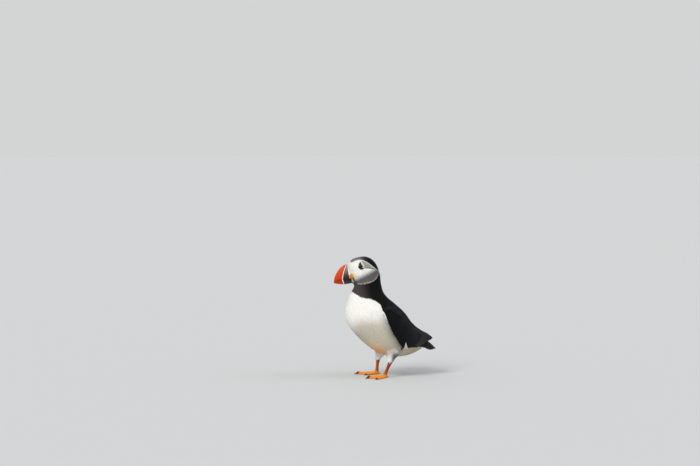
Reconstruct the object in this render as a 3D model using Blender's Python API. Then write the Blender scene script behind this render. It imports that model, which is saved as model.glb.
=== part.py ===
"""Atlantic puffin (Fratercula arctica), adult in summer dress, standing: one solid for each part of the body.

The bird faces -Y, its left side is +X, and it stands on the floor at z = 0, with the middle of its box at the
origin. Outlines are written in millimetres from a point under the back, turned to metres where a mesh is made,
and centred at the end. Flat outlines are (y, z) in the bird's middle plane.
"""

import math
from typing import NamedTuple

import bmesh
import bpy
from mathutils import Matrix, Vector
from mathutils.bvhtree import BVHTree

MM = 0.001
GAP = 0.3  # clearance between two neighbours

# Posture
HEAD_TURN = math.radians(-10)  # the head looks a little to the bird's right
NECK_AXIS = Vector((0.0, -23.0, 0.0))  # the upright line that the head turns about
TURN_STARTS, TURN_ENDS = 6.5, 4.0  # body rings between which the neck takes up the turn

# Head
EYE_RADIUS = 4.6
EYE_PLACE = Vector((16.8, -35.4, 186.6))  # middle of the left eyeball
GAPE = Vector((0.0, -51.0, 167.6))  # corner of the mouth, in the middle plane
CULMEN_LENGTH, CULMEN_HEIGHT, CULMEN_FULLNESS = 23.4, 31.4, 1.72
BILL_TOP_BACK = 5.4  # how far the culmen starts in front of the gape
CHIN_DEPTH = 8.8
BILL_HALF_WIDTH = 8.2
CERE_SHARE = 0.085  # share of the upper bill taken by the cream pad at its base

# Legs
HIP_HALF_SPAN = 24.0  # from the middle plane to each leg
HEEL_Y = 8.0
TARSUS_RADIUS = 2.5
WEB_THICKNESS = 1.3
FOOT_STARTS = 0.11  # share of the toes' length at which the three have already met


class Ring(NamedTuple):
    """A cross-section of the feathered body: its front and back ends as (y, z), and half its width."""

    front: tuple
    back: tuple
    half_width: float


BODY = {
    "bill_base": Ring((-49.6, 158.8), (-55.8, 191.6), 8.6),
    "forehead": Ring((-45.8, 156.4), (-46.6, 200.2), 16.8),
    "crown": Ring((-44.8, 154.6), (-27.2, 204.0), 21.6),
    "hindcrown": Ring((-44.8, 152.4), (-12.0, 196.8), 22.4),
    "nape": Ring((-46.8, 149.0), (-2.0, 178.4), 22.6),
    "neck": Ring((-50.0, 143.6), (1.6, 154.4), 23.4),
    "collar": Ring((-56.9, 130.0), (7.8, 138.6), 31.5),
    "shoulder": Ring((-60.8, 108.6), (26.2, 122.2), 42.0),
    "breast": Ring((-57.0, 91.4), (41.5, 108.2), 45.5),
    "belly": Ring((-40.6, 69.4), (53.4, 91.0), 45.0),
    "flank": Ring((-15.2, 46.8), (59.6, 77.0), 40.0),
    "vent": Ring((15.0, 33.2), (66.0, 67.0), 31.0),
    "undertail": Ring((46.0, 34.0), (73.0, 60.0), 20.0),
    "tail_base": Ring((69.0, 43.0), (79.6, 53.6), 9.0),
}
RING_NAMES = list(BODY)
RING_POINTS = 28
SQUARENESS = 2.12  # exponent of each cross-section's superellipse

HEAD_ENDS, NECK_ENDS = 4.6, 6.35  # where the body is parted, counted in rings


def spline(rows, t):
    """Catmull-Rom curve through rows of numbers, at t counted in rows."""
    last = len(rows) - 1
    t = min(max(t, 0.0), float(last))
    i = min(int(t), last - 1)
    u = t - i
    before, start, end, after = (rows[min(max(k, 0), last)] for k in (i - 1, i, i + 1, i + 2))
    return [
        0.5 * (2 * b + (c - a) * u + (2 * a - 5 * b + 4 * c - d) * u * u + (3 * b - a - 3 * c + d) * u**3)
        for a, b, c, d in zip(before, start, end, after)
    ]


def ease(x):
    """0 below 0, 1 above 1, and smooth between."""
    x = min(max(x, 0.0), 1.0)
    return x * x * (3 - 2 * x)


def mix(a, b, share):
    return a + (b - a) * share


def power(value, exponent):
    """A power that keeps the sign."""
    return math.copysign(abs(value) ** exponent, value)


def turned(point, share=1.0):
    """point after the head's turn about the neck."""
    return NECK_AXIS + Matrix.Rotation(HEAD_TURN * share, 3, "Z") @ (Vector(point) - NECK_AXIS)


def body_ring(t, grow=0.0, slide=0.0):
    """The body's cross-section at ring t, made larger by grow and moved by slide along the body, tailwards."""
    rows = [(*r.front, *r.back, r.half_width) for r in BODY.values()]
    front_y, front_z, back_y, back_z, half_width = spline(rows, t)
    centre = Vector((0, (front_y + back_y) / 2, (front_z + back_z) / 2))
    half = Vector((0, back_y - front_y, back_z - front_z)) / 2
    centre += Vector((0, half.z, -half.y)).normalized() * slide
    half *= 1 + grow / half.length
    share = ease((TURN_STARTS - t) / (TURN_STARTS - TURN_ENDS))
    points = []
    for k in range(RING_POINTS):
        angle = 2 * math.pi * k / RING_POINTS
        across = (half_width + grow) * power(math.sin(angle), 2 / SQUARENESS)
        along = -power(math.cos(angle), 2 / SQUARENESS)
        points.append(turned(centre + half * along + Vector((across, 0, 0)), share))
    return points


# Mesh builders


def new_object(name, mesh, collection, material=None):
    mesh.name = name
    obj = bpy.data.objects.new(name, mesh)
    collection.objects.link(obj)
    if material:
        mesh.materials.append(material)
        mesh.shade_smooth()
        mesh.set_sharp_from_angle(angle=math.radians(40))
    else:
        obj.hide_render = True
        obj.display_type = "WIRE"
    return obj


def mesh_of(bm):
    """A mesh in metres from a bmesh in millimetres, with its faces pointing out."""
    bmesh.ops.scale(bm, vec=(MM, MM, MM), verts=bm.verts)
    bmesh.ops.recalc_face_normals(bm, faces=bm.faces)
    mesh = bpy.data.meshes.new("solid")
    bm.to_mesh(mesh)
    bm.free()
    return mesh


def loft(rings):
    """A closed solid through rings with equal numbers of points, with a flat face at each end."""
    bm = bmesh.new()
    loops = [[bm.verts.new(p) for p in ring] for ring in rings]
    for first, second in zip(loops, loops[1:]):
        for k in range(len(first)):
            n = (k + 1) % len(first)
            bm.faces.new((first[k], first[n], second[n], second[k]))
    bm.faces.new(loops[0])
    bm.faces.new(loops[-1])
    return mesh_of(bm)


def slab(top, bottom):
    """A closed solid between two grids of points of the same shape."""
    bm = bmesh.new()
    grids = [[[bm.verts.new(p) for p in row] for row in grid] for grid in (top, bottom)]
    rows, columns = len(top), len(top[0])
    for grid in grids:
        for i in range(rows - 1):
            for j in range(columns - 1):
                bm.faces.new((grid[i][j], grid[i][j + 1], grid[i + 1][j + 1], grid[i + 1][j]))
    rim = [(0, j) for j in range(columns)] + [(i, columns - 1) for i in range(1, rows)]
    rim += [(rows - 1, j) for j in range(columns - 2, -1, -1)] + [(i, 0) for i in range(rows - 2, 0, -1)]
    for (i, j), (m, n) in zip(rim, rim[1:] + rim[:1]):
        bm.faces.new((grids[0][i][j], grids[0][m][n], grids[1][m][n], grids[1][i][j]))
    return mesh_of(bm)


def swept(path, radii, sides, flatness=1.0, start=None):
    """Circles round a path of 3-D points, as rings for loft. The first ring is square to start, if given."""
    rings = []
    for i, (centre, radius) in enumerate(zip(path, radii)):
        ahead = path[min(i + 1, len(path) - 1)] - path[max(i - 1, 0)]
        ahead = start if start and i == 0 else ahead
        side = Vector((1, 0, 0))
        side = (side - ahead * side.dot(ahead) / ahead.length_squared).normalized()
        up = ahead.normalized().cross(side)
        turns = [2 * math.pi * k / sides for k in range(sides)]
        rings.append([centre + radius * (side * math.cos(a) + up * flatness * math.sin(a)) for a in turns])
    return rings


def ball(centre, radius, squash=(1, 1, 1)):
    bm = bmesh.new()
    bmesh.ops.create_uvsphere(bm, u_segments=20, v_segments=12, radius=radius)
    bmesh.ops.scale(bm, vec=squash, verts=bm.verts)
    bmesh.ops.rotate(bm, matrix=Matrix.Rotation(math.pi / 2, 3, "Y"), verts=bm.verts)
    bmesh.ops.translate(bm, vec=centre, verts=bm.verts)
    return mesh_of(bm)


def flipped(mesh):
    """The mirror image of a mesh in the bird's middle plane."""
    twin = mesh.copy()
    twin.transform(Matrix.Scale(-1, 4, (1, 0, 0)))
    twin.flip_normals()
    return twin


def cut(obj, *cutters):
    for cutter in cutters:
        modifier = obj.modifiers.new("clear_of_" + cutter.name, "BOOLEAN")
        modifier.operation = "DIFFERENCE"
        modifier.object = cutter


# Bill


def bill_outlines(s):
    """Culmen, mouth and lower edge of the bill, each (y, z), for the growth line s: 0 at the base, 1 at the tip.

    The lines lie close at the top of the base and spread along the mouth, as the bill's grooves do.
    """
    angle = math.pi / 2 * s**3.4
    top = (
        GAPE.y - BILL_TOP_BACK - CULMEN_LENGTH * math.sin(angle) ** (2 / CULMEN_FULLNESS),
        GAPE.z - 8.0 + CULMEN_HEIGHT * math.cos(angle) ** (2 / CULMEN_FULLNESS),
    )
    tip_y, tip_z = GAPE.y - BILL_TOP_BACK - CULMEN_LENGTH, GAPE.z - 8.0
    mouth = (mix(GAPE.y, tip_y, s), mix(GAPE.z, tip_z, s**1.35) + 0.9 * math.sin(math.pi * s))
    under = (
        mix(GAPE.y + 1.2, tip_y + 1.0, s),
        mix(GAPE.z - CHIN_DEPTH, tip_z - 0.9, s) - 2.0 * math.sin(math.pi * s) ** 0.8,
    )
    return top, mouth, under


def bill_half_width(s):
    return 0.9 + (BILL_HALF_WIDTH - 0.9) * (1 - s) ** 0.72


def upper_bill_ring(s, grow=0.0):
    """One growth line of the upper bill: up the left side, over the culmen and down the right."""
    top, mouth, _ = bill_outlines(s)
    steps = 7
    side = []
    for k in range(steps + 1):
        v = k / steps
        bow = 1.6 * math.sin(math.pi * v) * math.sin(math.pi * s)
        width = bill_half_width(s) * (1 - 0.85 * v**1.5) + grow
        side.append((width, mix(mouth[0], top[0], v) - bow, mix(mouth[1], top[1], v) + grow * v))
    left = [Vector(p) for p in side]
    right = [Vector((-x, y, z)) for x, y, z in reversed(side)]
    return left + right


def lower_bill_ring(s):
    _, mouth, under = bill_outlines(s)
    width = bill_half_width(s)
    shape = ((1.0, 0.0), (0.97, 0.35), (0.85, 0.7), (0.5, 0.93), (0.2, 1.0))
    side = [(width * w, mix(mouth[0], under[0], v), mix(mouth[1] - GAP, under[1], v)) for w, v in shape]
    return [Vector(p) for p in side] + [Vector((-x, y, z)) for x, y, z in reversed(side)]


def build_bill(add, horn, cream):
    lines = [CERE_SHARE + 0.012 + (0.985 - CERE_SHARE) * k / 14 for k in range(15)]
    add("bill_upper", loft([[turned(p) for p in upper_bill_ring(s)] for s in lines]), horn)
    lines = [0.02 + 0.96 * k / 12 for k in range(13)]
    add("bill_lower", loft([[turned(p) for p in lower_bill_ring(s)] for s in lines]), horn)
    pad = [upper_bill_ring(s, grow) for s, grow in ((0.012, 0.2), (0.03, 0.9), (0.065, 0.9), (CERE_SHARE, 0.3))]
    return add("cere", loft([[turned(p) for p in ring] for ring in pad]), cream)


# Head pieces that lie on the face


def face_piece(outline, depth, skew=0.0):
    """A low pad on the left of the face: outline is (y, z) round it, and depth the reach of its x."""
    inner, outer = depth
    middle = Vector((0, sum(p[0] for p in outline) / len(outline), sum(p[1] for p in outline) / len(outline)))
    rings = []
    for x, share in ((inner, 1.0), (mix(inner, outer, 0.7), 0.96), (outer, 0.62)):
        ring = [middle + (Vector((0, y, z)) - middle) * share for y, z in outline]
        rings.append([turned(Vector((x + skew * (p.y - middle.y), p.y, p.z))) for p in ring])
    return loft(rings)


def mirrored_pair(add, name, mesh, material, cutters):
    """Adds a piece of the left of the head and its twin on the right."""
    left = add(name + "_left", mesh, material)
    undo, redo = Matrix.Rotation(-HEAD_TURN, 4, "Z"), Matrix.Rotation(HEAD_TURN, 4, "Z")
    to_axis = Matrix.Translation(-NECK_AXIS * MM)
    twin = mesh.copy()
    twin.transform(to_axis.inverted() @ redo @ Matrix.Scale(-1, 4, (1, 0, 0)) @ undo @ to_axis)
    twin.flip_normals()
    right = add(name + "_right", twin, material)
    for piece in (left, right):
        cut(piece, *cutters)
    return left, right


def oval(middle, half_length, half_height, lean, points=14):
    """A leaning ellipse as (y, z) points."""
    found = []
    for k in range(points):
        a = 2 * math.pi * k / points
        y, z = half_length * math.cos(a), half_height * math.sin(a)
        found.append((middle[0] + y * math.cos(lean) - z * math.sin(lean), middle[1] + y * math.sin(lean) + z * math.cos(lean)))
    return found


def build_face(add, add_cutter, head, cere, colours):
    skin_of_head = add_cutter("head_clearance", loft([body_ring(t / 4, GAP) for t in range(-1, 20)]))
    eye = EYE_PLACE
    eyes = mirrored_pair(add, "eye", ball(turned(eye), EYE_RADIUS), colours["eye"], ())
    sockets = []
    for piece in eyes:
        socket_mesh = ball((0, 0, 0), EYE_RADIUS + GAP)
        middle = sum((v.co for v in piece.data.vertices), Vector()) / len(piece.data.vertices)
        socket_mesh.transform(Matrix.Translation(middle))
        sockets.append(add_cutter(piece.name + "_socket", socket_mesh))
    cut(head, *sockets)
    brow_plate = [(-3.3, 3.3), (3.7, 3.1), (2.5, 5.0), (1.1, 7.4), (-0.7, 10.2), (-2.3, 7.0)]
    brow_plate = [(eye.y + y, eye.z + z) for y, z in brow_plate]
    plate = face_piece(brow_plate, (8.0, 19.2), 0.25)
    mirrored_pair(add, "eye_plate_upper", plate, colours["plate"], (skin_of_head, *sockets))
    lower_plate = oval((eye.y + 1.3, eye.z - 4.3), 3.6, 1.0, math.radians(8))
    plate = face_piece(lower_plate, (8.0, 23.4), 0.2)
    mirrored_pair(add, "eye_plate_lower", plate, colours["plate"], (skin_of_head, *sockets))
    rosette = oval((GAPE.y + 1.2, GAPE.z + 3.2), 3.1, 4.6, math.radians(22))
    bill_clearance = add_cutter("cere_clearance", loft([[turned(p) for p in upper_bill_ring(s, 1.2)] for s in (0.0, 0.3)]))
    pad = face_piece(rosette, (4.0, 13.6), 0.55)
    mirrored_pair(add, "gape", pad, colours["gape"], (skin_of_head, bill_clearance))


# Wings and tail


# The folded wing's edges from wrist to tip: y, z, and how far out they stand where the body does not carry them
WING_LOWER = (
    (-6.5, 118.0, 43.0), (-3.4, 107.0, 45.0), (0.4, 95.0, 46.0), (7.4, 80.0, 45.0), (16.6, 66.8, 42.0),
    (28.0, 52.0, 37.0), (45.0, 50.0, 31.0), (62.0, 51.4, 24.0), (79.0, 57.4, 16.0), (89.0, 60.8, 11.0),
)
WING_UPPER = (
    (-5.6, 119.6, 41.0), (4.0, 120.5, 40.0), (14.0, 117.0, 38.0), (25.0, 110.5, 35.0), (36.0, 103.5, 31.0),
    (46.0, 95.5, 27.0), (56.0, 86.4, 22.0), (68.0, 78.4, 17.0), (80.0, 71.6, 13.0), (90.0, 64.6, 10.0),
)


def wing_point(u, v):
    """(y, z, reach) on the folded wing: u from wrist to tip, v from the lower edge (0) to the upper (1)."""
    lower, upper = (spline(edge, u * (len(edge) - 1)) for edge in (WING_LOWER, WING_UPPER))
    return [mix(a, b, v) for a, b in zip(lower, upper)]


def build_wings(add, trunk_mesh, material):
    tree = BVHTree.FromPolygons(
        [v.co / MM for v in trunk_mesh.vertices], [list(p.vertices) for p in trunk_mesh.polygons]
    )
    rows, columns = 22, 9
    outside, inside = [], []
    for i in range(rows + 1):
        u = 0.005 + 0.985 * i / rows
        outer_row, inner_row = [], []
        for j in range(columns + 1):
            v = j / columns
            y, z, reach = wing_point(u, v)
            around = [(y + a, z + b) for a in (-1.6, 0, 1.6) for b in (-1.6, 0, 1.6)]
            hits = [tree.ray_cast(Vector((100, *place)), Vector((-1, 0, 0)))[0] for place in around]
            body = max(hit.x if hit else 0.0 for hit in hits)
            edge = min(ease(v / 0.25), ease((1 - v) / 0.3), ease(u / 0.12))
            thickness = mix(1.2, mix(5.0, 2.2, u), edge)
            outer = max(body + 2 * GAP + thickness, reach + (thickness - 3.0) * 0.5)
            inner = max(body + 2 * GAP, outer - thickness - 1.0)
            outer_row.append(Vector((outer, y, z)))
            inner_row.append(Vector((inner, y, z)))
        outside.append(outer_row)
        inside.append(inner_row)
    wing = slab(outside, inside)
    add("wing_left", wing, material)
    add("wing_right", flipped(wing), material)


# The folded tail from between the wings to its tip: y and z of its ridge, half its width, how far its sides
# droop below the ridge, and its thickness
TAIL = (
    (62.0, 65.0, 11.0, 7.0, 4.0), (70.0, 62.2, 13.5, 9.5, 3.6), (78.0, 59.4, 15.0, 11.5, 3.0),
    (84.0, 57.0, 15.5, 11.5, 2.6), (88.5, 54.0, 15.5, 9.2, 2.2), (92.5, 50.4, 14.5, 6.0, 1.9),
    (95.5, 47.6, 12.0, 3.4, 1.6), (97.6, 45.4, 7.0, 1.2, 1.4),
)


def build_tail(add, trunk_clearance, material):
    """The folded tail feathers: a roof with drooping sides, bent down towards its rounded end."""
    rows, columns = 14, 14
    top, bottom = [], []
    for i in range(rows + 1):
        y, z, half_width, droop, thickness = spline(TAIL, (len(TAIL) - 1) * i / rows)
        top_row, bottom_row = [], []
        for j in range(columns + 1):
            across = 2 * j / columns - 1
            height = z - droop * across**2
            top_row.append(Vector((half_width * across, y, height)))
            bottom_row.append(Vector((half_width * across, y, height - thickness * (1 - 0.5 * across**2))))
        top.append(top_row)
        bottom.append(bottom_row)
    cut(add("tail", slab(top, bottom), material), trunk_clearance)


# Legs


class Leg(NamedTuple):
    """One leg's stance: which side it is on, where its ankle is, and how far the foot turns out."""

    name: str
    side: int
    ankle: tuple
    toe_out: float


LEGS = (
    Leg("left", 1, (10.8, 25.0), math.radians(17)),
    Leg("right", -1, (3.0, 25.0), math.radians(6)),
)
TOES = {  # angle from the middle toe, length to the claw, length of the claw
    "inner": (math.radians(-30), 30.5, 5.0),
    "middle": (0.0, 39.0, 6.0),
    "outer": (math.radians(27.5), 38.0, 5.0),
}


def web_edge(angle):
    """Distance from the heel to the foot's front edge in the direction angle: toes reach out, web draws in."""
    toes = list(TOES.values())
    for (a, length_a, _), (b, length_b, _) in zip(toes, toes[1:]):
        if angle <= b or (b, length_b) == toes[-1][:2]:
            share = min(max((angle - a) / (b - a), 0.0), 1.0)
            return mix(length_a, length_b, share) * (1 - 0.17 * math.sin(math.pi * share) ** 0.8)
    return toes[-1][1]


def foot_height(x, y):
    """Height of the foot's upper side above the floor: three toes standing out of a thin web."""
    height = WEB_THICKNESS
    for angle, length, _ in TOES.values():
        along = x * math.sin(angle) - y * math.cos(angle)
        off_line = x * math.cos(angle) + y * math.sin(angle)
        ridge = mix(5.2, 2.6, min(max(along, 0.0) / length, 1.0)) - WEB_THICKNESS
        height = max(height, WEB_THICKNESS + ridge * math.exp(-((off_line / 2.1) ** 2)))
    return height


def foot_row(share):
    """Points (x, y) across the left foot at a share of its length: beside each toe, and on the webs between."""
    row = []
    toes = list(TOES.values())
    for k, (angle, length, _) in enumerate(toes):
        distance = share * length
        ahead = Vector((math.sin(angle), -math.cos(angle)))
        beside = Vector((math.cos(angle), math.sin(angle)))
        inward = min(2.0, 0.16 * distance)
        reach = (-2.2 if k == 0 else -inward, 2.2 if k == len(toes) - 1 else inward)
        for off in (reach[0], reach[0] / 2, 0.0, reach[1] / 2, reach[1]):
            row.append(ahead * (distance - 0.12 * off * off) + beside * off * mix(1.0, 0.8, share))
        if k + 1 < len(toes):
            for part in (0.32, 0.5, 0.68):
                web = mix(angle, toes[k + 1][0], part)
                row.append(Vector((math.sin(web), -math.cos(web))) * share * web_edge(web))
    return row


def foot_grid():
    """The upper and lower points of the left foot, its middle toe along -Y from the line's start at the origin."""
    top, bottom = [], []
    for i in range(11):
        row = foot_row(mix(FOOT_STARTS, 1.0, i / 10))
        top.append([Vector((*p, foot_height(*p))) for p in row])
        bottom.append([Vector((*p, 0)) for p in row])
    return top, bottom


def claw_rings(length):
    """A claw that leaves the toe's end forwards and curves down to the floor."""
    path, radii = [], []
    for k in range(6):
        s = k / 5
        path.append(Vector((0, -length * s, mix(1.75, 0.55, s**1.6) + 0.5 * math.sin(math.pi * s))))
        radii.append(mix(1.25, 0.42, s))
    return swept(path, radii, 8)


def build_leg(add, leg, trunk_clearance, colours):
    heel = Vector((leg.side * HIP_HALF_SPAN, HEEL_Y, 0))
    stance = Matrix.Translation(heel * MM) @ Matrix.Rotation(leg.side * leg.toe_out, 4, "Z")
    foot = slab(*foot_grid())
    claws = {}
    for toe, (angle, length, claw) in TOES.items():
        mesh = loft(claw_rings(claw))
        at = Matrix.Translation(Vector((math.sin(angle), -math.cos(angle), 0)) * (length + GAP) * MM)
        mesh.transform(at @ Matrix.Rotation(angle, 4, "Z"))
        claws[toe] = mesh
    if leg.side < 0:
        foot = flipped(foot)
        claws = {toe: flipped(mesh) for toe, mesh in claws.items()}
    foot.transform(stance)
    add("foot_" + leg.name, foot, colours["leg"])
    for toe, mesh in claws.items():
        mesh.transform(stance)
        add(f"claw_{toe}_{leg.name}", mesh, colours["claw"])

    forward = Vector((leg.side * math.sin(leg.toe_out), -math.cos(leg.toe_out), 0))
    lowest = heel + forward * 6.6 + Vector((0, 0, 5.2 + GAP))
    ankle = Vector((heel.x, *leg.ankle))
    up_leg = (ankle - lowest).normalized()
    path = [lowest.lerp(ankle, k / 6) for k in range(7)]
    radii = [TARSUS_RADIUS * r for r in (1.2, 1.0, 0.92, 0.9, 0.98, 1.15, 1.3)]
    rings = swept(path, radii, 12, 1.15)
    rings[0] = [p + up_leg * (lowest.z - p.z) / up_leg.z for p in rings[0]]
    add("tarsus_" + leg.name, loft(rings), colours["leg"])

    knee = Vector((heel.x - leg.side * 4.0, ankle.y + 8.0, 52.0))
    cuff = ankle + up_leg * GAP
    path = [cuff.lerp(knee, k / 7) for k in range(8)]
    radii = [mix(4.6, 15.0, ease(k / 7)) for k in range(8)]
    cut(add("thigh_" + leg.name, loft(swept(path, radii, 16, 1.1, up_leg)), colours["white"]), trunk_clearance)


def colour(name, rgb, roughness):
    material = bpy.data.materials.new(name)
    material.use_nodes = True
    shader = material.node_tree.nodes["Principled BSDF"]
    shader.inputs["Base Color"].default_value = (*rgb, 1)
    shader.inputs["Roughness"].default_value = roughness
    shader.inputs["Metallic"].default_value = 0.0
    return material


def centre_on_floor(bird, helpers):
    """Slides everything so that the bird's box stands on z = 0 with its middle at the origin."""
    points = [v.co for obj in bird.objects for v in obj.data.vertices]
    low = Vector(min(p[axis] for p in points) for axis in range(3))
    high = Vector(max(p[axis] for p in points) for axis in range(3))
    shift = Vector((-(low.x + high.x) / 2, -(low.y + high.y) / 2, -low.z))
    for obj in [*bird.objects, *helpers.objects]:
        obj.data.transform(Matrix.Translation(shift))


def main():
    for obj in list(bpy.data.objects):
        bpy.data.objects.remove(obj)
    bird = bpy.data.collections.new("atlantic_puffin")
    cutters = bpy.data.collections.new("cutters")
    bpy.context.scene.collection.children.link(bird)
    bpy.context.scene.collection.children.link(cutters)

    colours = {
        "black": colour("black_plumage", (0.012, 0.012, 0.014), 0.6),
        "white": colour("white_plumage", (0.85, 0.83, 0.80), 0.8),
        "face": colour("face_plumage", (0.62, 0.60, 0.58), 0.8),
        "horn": colour("bill_horn", (0.75, 0.11, 0.02), 0.35),
        "cream": colour("cere", (0.85, 0.72, 0.48), 0.5),
        "gape": colour("gape_skin", (0.85, 0.42, 0.03), 0.5),
        "eye": colour("eye", (0.02, 0.012, 0.01), 0.05),
        "plate": colour("eye_plate", (0.09, 0.11, 0.15), 0.4),
        "leg": colour("leg_skin", (0.85, 0.20, 0.01), 0.45),
        "claw": colour("claw", (0.015, 0.012, 0.01), 0.35),
    }

    def add(name, mesh, material):
        return new_object(name, mesh, bird, material)

    def add_cutter(name, mesh):
        return new_object(name, mesh, cutters)

    def body_rings(start, end, count, grow=0.0):
        """Rings from start to end, with the two end faces drawn in by half a gap."""
        steps = [mix(start, end, k / count) for k in range(count + 1)]
        slides = [GAP / 2] + [0.0] * (count - 1) + [-GAP / 2]
        return [body_ring(t, grow, slide) for t, slide in zip(steps, slides)]

    last = float(len(RING_NAMES) - 1)
    head = add("head", loft(body_rings(0.0, HEAD_ENDS, 18)), colours["face"])
    add("neck", loft(body_rings(HEAD_ENDS, NECK_ENDS, 9)), colours["black"])
    trunk_mesh = loft(body_rings(NECK_ENDS, last, 26))
    add("trunk", trunk_mesh, colours["white"])
    trunk_clearance = add_cutter("trunk_clearance", loft(body_rings(NECK_ENDS, last, 26, GAP)))

    cere = build_bill(add, colours["horn"], colours["cream"])
    build_face(add, add_cutter, head, cere, colours)
    build_wings(add, trunk_mesh, colours["black"])
    build_tail(add, trunk_clearance, colours["black"])
    for leg in LEGS:
        build_leg(add, leg, trunk_clearance, colours)
    centre_on_floor(bird, cutters)


main()
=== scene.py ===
"""Atlantic puffin, standing: skin, plumage, bill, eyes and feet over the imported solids.

Lengths are in millimetres until a mesh is made. The bird faces -Y and its left side is +X.
"""

import math

import bmesh
import bpy
import numpy as np
from mathutils import Matrix, Vector
from mathutils.bvhtree import BVHTree
from mathutils.kdtree import KDTree


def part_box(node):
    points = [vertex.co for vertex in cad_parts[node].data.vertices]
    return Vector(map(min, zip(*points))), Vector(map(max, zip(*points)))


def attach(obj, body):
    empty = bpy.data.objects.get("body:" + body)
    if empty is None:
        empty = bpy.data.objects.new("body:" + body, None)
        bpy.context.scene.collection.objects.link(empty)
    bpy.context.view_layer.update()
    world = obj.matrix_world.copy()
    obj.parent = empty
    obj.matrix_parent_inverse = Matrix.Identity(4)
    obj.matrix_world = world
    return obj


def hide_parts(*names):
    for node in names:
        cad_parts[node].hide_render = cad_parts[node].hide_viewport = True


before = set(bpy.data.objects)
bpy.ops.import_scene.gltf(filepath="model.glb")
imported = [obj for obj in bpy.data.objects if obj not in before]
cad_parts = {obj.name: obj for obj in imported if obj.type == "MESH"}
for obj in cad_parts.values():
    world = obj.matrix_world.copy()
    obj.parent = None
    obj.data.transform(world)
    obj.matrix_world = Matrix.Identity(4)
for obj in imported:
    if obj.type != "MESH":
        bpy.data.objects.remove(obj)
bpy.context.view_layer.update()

MM = 0.001
rng = np.random.default_rng(26)

# Posture, as in the solids
HEAD_TURN = math.radians(-10)
NECK_AXIS_Y = -23.0
TURN_STARTS, TURN_ENDS = 6.5, 4.0
EYE_PLACE = np.array((16.8, -35.4, 186.6))
EYE_RADIUS = 4.6
GAPE = (-51.0, 167.6)
CULMEN_LENGTH, CULMEN_HEIGHT, CULMEN_FULLNESS = 23.4, 31.4, 1.72
BILL_TOP_BACK = 5.4
CHIN_DEPTH = 8.8
BILL_HALF_WIDTH = 8.2
CERE_SHARE = 0.085

# Cross-sections of the feathered body: front y and z, back y and z, half the width
BODY = np.array((
    (-49.6, 158.8, -55.8, 191.6, 8.6),  # bill base
    (-45.8, 156.4, -46.6, 200.2, 16.8),  # forehead
    (-44.8, 154.6, -27.2, 204.0, 21.6),  # crown
    (-44.8, 152.4, -12.0, 196.8, 22.4),  # hind crown
    (-46.8, 149.0, -2.0, 178.4, 22.6),  # nape
    (-50.0, 143.6, 1.6, 154.4, 23.4),  # neck
    (-56.9, 130.0, 7.8, 138.6, 31.5),  # collar
    (-60.8, 108.6, 26.2, 122.2, 42.0),  # shoulder
    (-57.0, 91.4, 41.5, 108.2, 45.5),  # breast
    (-40.6, 69.4, 53.4, 91.0, 45.0),  # belly
    (-15.2, 46.8, 59.6, 77.0, 40.0),  # flank
    (15.0, 33.2, 66.0, 67.0, 31.0),  # vent
    (46.0, 34.0, 73.0, 60.0, 20.0),  # undertail
    (69.0, 43.0, 79.6, 53.6, 9.0),  # tail base
))
LAST_RING = len(BODY) - 1
SQUARENESS = 2.12

# The folded wing's lower and upper edges from wrist to tip: y, z and how far out they stand
WING_LOWER = np.array((
    (-6.5, 118.0, 43.0), (-3.4, 107.0, 45.0), (0.4, 95.0, 46.0), (7.4, 80.0, 45.0), (16.6, 66.8, 42.0),
    (28.0, 52.0, 37.0), (45.0, 50.0, 31.0), (62.0, 51.4, 24.0), (79.0, 57.4, 16.0), (89.0, 60.8, 11.0),
))
WING_UPPER = np.array((
    (-5.6, 119.6, 41.0), (4.0, 120.5, 40.0), (14.0, 117.0, 38.0), (25.0, 110.5, 35.0), (36.0, 103.5, 31.0),
    (46.0, 95.5, 27.0), (56.0, 86.4, 22.0), (68.0, 78.4, 17.0), (80.0, 71.6, 13.0), (90.0, 64.6, 10.0),
))
WING_LENGTH = 122.0
# The folded tail from between the wings to its tip: ridge y and z, half the width, droop of the sides
TAIL = np.array((
    (62.0, 65.0, 11.0, 7.0), (70.0, 62.2, 13.5, 9.5), (78.0, 59.4, 15.0, 11.5), (84.0, 57.0, 15.5, 11.5),
    (88.5, 54.0, 15.5, 9.2), (92.5, 50.4, 14.5, 6.0), (95.5, 47.6, 12.0, 3.4), (97.6, 45.4, 7.0, 1.2),
))


def ease(x):
    """0 below 0, 1 above 1, and smooth between."""
    x = np.clip(x, 0.0, 1.0)
    return x * x * (3 - 2 * x)


def bell(x):
    """1 at 0, falling smoothly to 0 on both sides."""
    return np.exp(-(x**2))


def mix(a, b, share):
    return a + (b - a) * share


def unit(vectors):
    return vectors / np.maximum(np.linalg.norm(vectors, axis=-1, keepdims=True), 1e-9)


def power(value, exponent):
    """A power that keeps the sign."""
    return np.sign(value) * np.abs(value) ** exponent


def srgb(code):
    """The linear colour of a hex code such as ff8800."""
    parts = np.array([int(code[k : k + 2], 16) for k in (0, 2, 4)]) / 255
    return np.where(parts <= 0.04045, parts / 12.92, ((parts + 0.055) / 1.055) ** 2.4)


def curve_at(rows, t):
    """Catmull-Rom curve through rows, at every number in t, counted in rows."""
    last = len(rows) - 1
    t = np.clip(np.asarray(t, float), 0, last)
    i = np.minimum(t.astype(int), last - 1)
    u = (t - i)[..., None]
    a, b, c, d = (rows[np.clip(i + k, 0, last)] for k in (-1, 0, 1, 2))
    return 0.5 * (2 * b + (c - a) * u + (2 * a - 5 * b + 4 * c - d) * u**2 + (3 * b - a - 3 * c + d) * u**3)


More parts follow.
